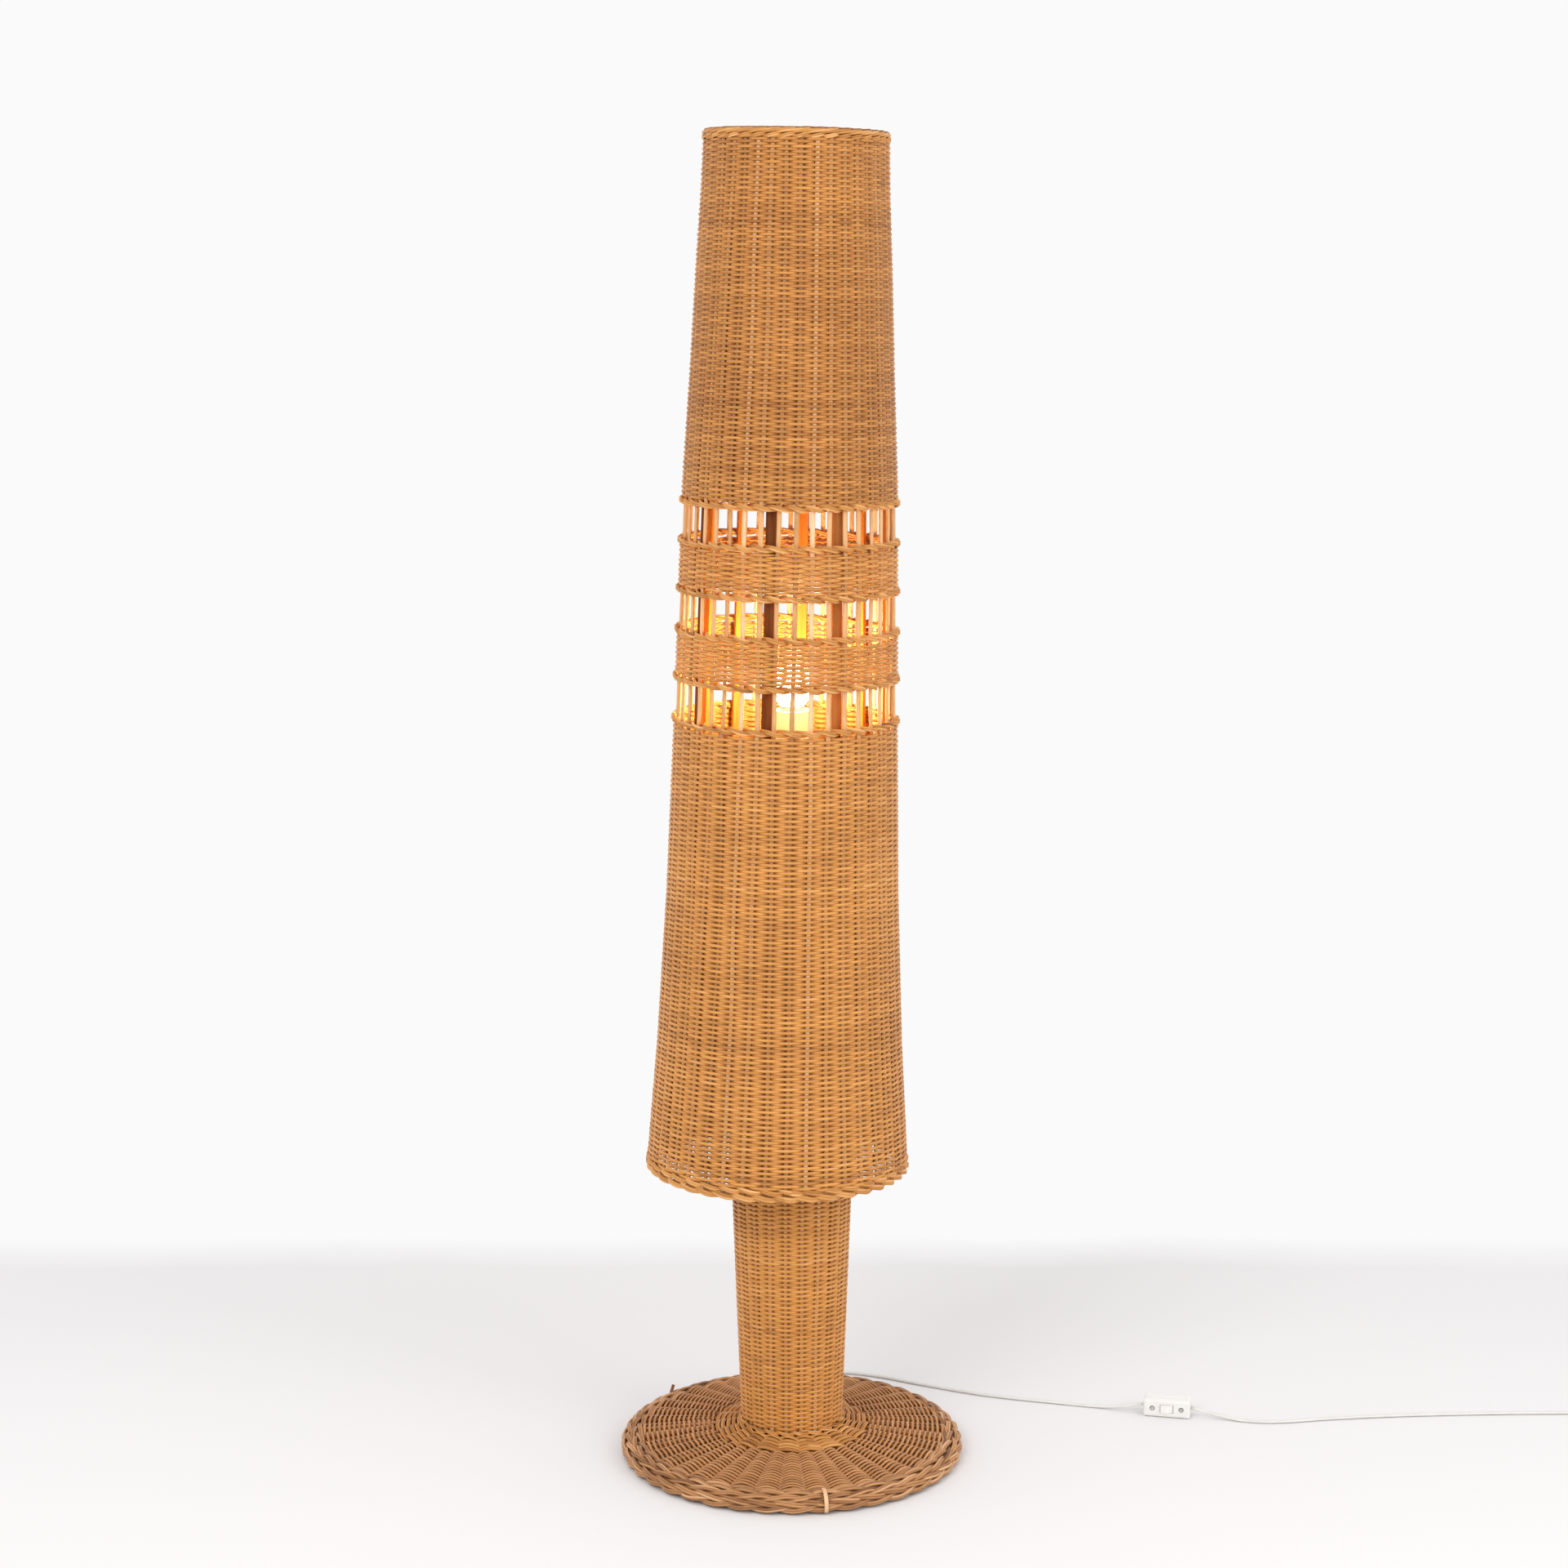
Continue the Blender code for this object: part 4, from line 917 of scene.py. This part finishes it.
def twin_outline():
    """The figure of eight of a flat twin flex, as shares of its half width and half thickness."""
    centre = (CORD_WIDTH - CORD_THICKNESS) / CORD_WIDTH
    radius = CORD_THICKNESS / CORD_WIDTH
    right = [math.radians(angle) for angle in np.linspace(130, -130, 8)]
    points = [(centre + radius * math.cos(a), math.sin(a)) for a in right]
    points += [(-x, -y) for x, y in points]
    return np.array(points)


def flex(name, points, material):
    strands = Strands()
    strands.sweep(
        points, (0, 0, 1), (0.5 * CORD_WIDTH, 0.5 * CORD_THICKNESS), outline=twin_outline(), tone=0.5
    )
    return strands.build(name, material)


def band(name, centre, along, half_reach, half_height, half_width, half_thickness, material):
    """A flat tie wrapped once round something. It lies in the upright plane of the direction along."""
    turn = math.tau * np.arange(40) / 40
    reach = half_reach * np.sign(np.cos(turn)) * np.abs(np.cos(turn)) ** 0.6
    rise = half_height * np.sign(np.sin(turn)) * np.abs(np.sin(turn)) ** 0.6
    outward = np.stack([along[0] * np.cos(turn), along[1] * np.cos(turn), np.sin(turn)], 1)
    path = np.stack([centre[0] + along[0] * reach, centre[1] + along[1] * reach, centre[2] + rise], 1)
    strands = Strands()
    strands.sweep(path, outward, (half_width, half_thickness), sides=8, loop=True)
    return strands.build(name, material)


def make_cord(look, plastic, rubber):
    first = smooth(ROUTE_TO_SWITCH, 0.006)
    to_switch = place(flex("flex_to_switch", first, look), "stand", "white_flex", "cord_to_switch")
    coil = coil_points()
    free = smooth((*ROUTE_TO_COIL, tuple(coil[0])), 0.006)
    tail = smooth((tuple(coil[-1]), *ROUTE_TO_PLUG), 0.005)
    second = np.concatenate([free[:-1], coil, tail[1:]])
    to_plug = place(
        flex("flex_to_plug", second, look), "stand", "white_flex", "cord_to_coil", "cord_coil",
        "cord_to_plug",
    )
    plug = make_plug(plastic)
    back = first[0] - 0.5 * (first[1] - first[0])
    covered = np.concatenate([[back], first[:5]])
    taper = np.linspace(1, 0, len(covered))
    strands = Strands()
    strands.sweep(covered, (0, 0, 1), (0.0031 + 0.0014 * taper, 0.0018 + 0.0018 * taper), sides=16)
    sleeve = place(strands.build("flex_sleeve", rubber), "stand", "grommet_rubber")
    direction = np.array((-math.sqrt(0.5), -math.sqrt(0.5)))
    middle = np.array(COIL_CENTRE) + COIL_TURNS[1][0] * direction
    tie = band("coil_tie", (*middle, 0.0055), direction, 0.0092, 0.0052, 0.0016, 0.0004, plastic)
    place(tie, "stand", "white_plastic")


def make_plug(plastic):
    width, length, thickness = PLUG_SIZE
    sides = 24
    # Each section as shares of the length, the width and the thickness, from the flex to the flat face
    sections = (
        (0.0, 0.36, 0.60), (0.12, 0.38, 0.62), (0.30, 0.46, 0.70), (0.46, 0.72, 0.88),
        (0.60, 0.96, 1.0), (0.80, 1.0, 1.0), (0.97, 0.98, 0.98), (1.0, 0.92, 0.90),
    )
    builder = bmesh.new()
    loops = []
    for at, share, rise in sections:
        half, high = 0.5 * width * share, 0.5 * thickness * rise
        ring = []
        for number in range(sides):
            turn = math.tau * number / sides
            x = math.copysign(abs(math.cos(turn)) ** 0.5, math.cos(turn)) * half
            z = math.copysign(abs(math.sin(turn)) ** 0.7, math.sin(turn)) * high
            ring.append(builder.verts.new((x, at * length, z)))
        loops.append(ring)
    for first, second in zip(loops, loops[1:]):
        for number in range(sides):
            after = (number + 1) % sides
            builder.faces.new((first[number], first[after], second[after], second[number]))
    builder.faces.new(loops[0])
    builder.faces.new(list(reversed(loops[-1])))
    bmesh.ops.recalc_face_normals(builder, faces=builder.faces)
    mesh = bpy.data.meshes.new("plug_moulding")
    builder.to_mesh(mesh)
    builder.free()
    mesh.shade_smooth()
    mesh.set_sharp_from_angle(angle=math.radians(45))
    mesh.materials.append(plastic)
    plug = bpy.data.objects.new("plug_moulding", mesh)
    bpy.context.scene.collection.objects.link(plug)
    plug.location = (*PLUG_BACK, 0.5 * thickness)
    return place(plug, "stand", "white_plastic", "plug_body")


# ---------------------------------------------------------------- the CAD pieces that stay
def dress(looks):
    for node, look in looks.items():
        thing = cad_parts[node]
        thing.data.materials.clear()
        thing.data.materials.append(look)
        thing.data.shade_smooth()
        thing.data.set_sharp_from_angle(angle=math.radians(35))


def main():
    add_camera()
    add_studio()
    wicker = cane("honey cane", (0.335, 0.116, 0.0215), (0.67, 0.296, 0.067), (0.88, 0.50, 0.19))
    rope = cane("twined cane", (0.25, 0.082, 0.015), (0.60, 0.267, 0.062), (0.84, 0.47, 0.18))
    foot_wicker = cane("worn cane", (0.29, 0.112, 0.034), (0.59, 0.280, 0.103), (0.82, 0.50, 0.29))
    foot_rope = cane("worn twined cane", (0.22, 0.085, 0.026), (0.54, 0.265, 0.105), (0.80, 0.50, 0.28))
    stakes_look = cane("stake cane", (0.26, 0.090, 0.018), (0.66, 0.350, 0.130), (0.88, 0.58, 0.32))
    # Both laths' outward colours are painted shade on their skins: bark on most, and wood on the lighter
    # lath that is turned wood side out
    lath = split_lath("split lath", (0.095, 0.024, 0.004), (0.20, 0.060, 0.011))
    pale_lath = split_lath("shaded wood-out split lath", (0.30, 0.095, 0.020), (0.50, 0.190, 0.045))
    ply = grained("plywood", (0.42, 0.27, 0.13), (0.62, 0.44, 0.24), 40, 0.6, even=False)
    iron = grained("cast iron", (0.035, 0.035, 0.035), (0.07, 0.068, 0.065), 300, 0.6, metallic=0.7)
    felt = grained("felt", (0.03, 0.03, 0.03), (0.06, 0.06, 0.06), 900, 0.9)
    steel = grained("zinc steel", (0.50, 0.50, 0.49), (0.62, 0.62, 0.61), 240, 0.35, 0.05, metallic=1.0)
    brass = grained("brass", (0.66, 0.46, 0.20), (0.78, 0.58, 0.28), 240, 0.3, 0.05, metallic=1.0)
    cap_metal = grained("cap metal", (0.60, 0.60, 0.58), (0.72, 0.72, 0.70), 200, 0.3, 0.05, metallic=1.0)
    holder = grained("holder plastic", (0.74, 0.72, 0.66), (0.80, 0.78, 0.72), 30, 0.35, 0.03, even=False)
    lit_holder = glowing_holder()
    ceramic = grained("ceramic", (0.78, 0.76, 0.72), (0.84, 0.82, 0.78), 50, 0.25, 0.03, even=False)
    white = grained("moulded plastic", (0.78, 0.76, 0.735), (0.82, 0.80, 0.775), 160, 0.38, 0.04)
    rocker = grained("rocker plastic", (0.80, 0.78, 0.755), (0.84, 0.82, 0.80), 160, 0.28, 0.03)
    pvc = grained("flex pvc", (0.70, 0.69, 0.66), (0.77, 0.76, 0.73), 90, 0.42, 0.05)
    rubber = grained("grey rubber", (0.20, 0.20, 0.195), (0.26, 0.26, 0.25), 400, 0.7, 0.1)
    glass = lit_glass()
    make_cord(pvc, white, rubber)
    make_shade(wicker, rope, stakes_look)
    make_column(wicker, rope, stakes_look)
    make_foot(foot_wicker, foot_rope, stakes_look)
    make_bulb(glass, cap_metal)
    dress({f"shade_upright_{number}": pale_lath if number == 5 else lath for number in range(1, 9)})
    dress({
        "hoop_bottom": lath, "hoop_top": lath, "shade_spider": lath, "foot_disc": ply,
        "top_disc": ply, "foot_board": ply, "base_weight": iron, "felt_pad": felt,
        "stand_tube": steel, "lock_nut_bottom": steel, "lock_nut_top": steel,
        "switch_screw_left": steel, "switch_screw_right": steel, "plug_pin_left": steel,
        "plug_pin_right": steel, "holder_cap": holder, "holder_shell": lit_holder,
        "holder_insert": ceramic, "holder_contact": brass, "bulb_contact": brass,
        "lead_inside": pvc, "switch_base": white, "switch_cover": white, "switch_rocker": rocker,
        "cord_grommet": rubber,
    })


main()
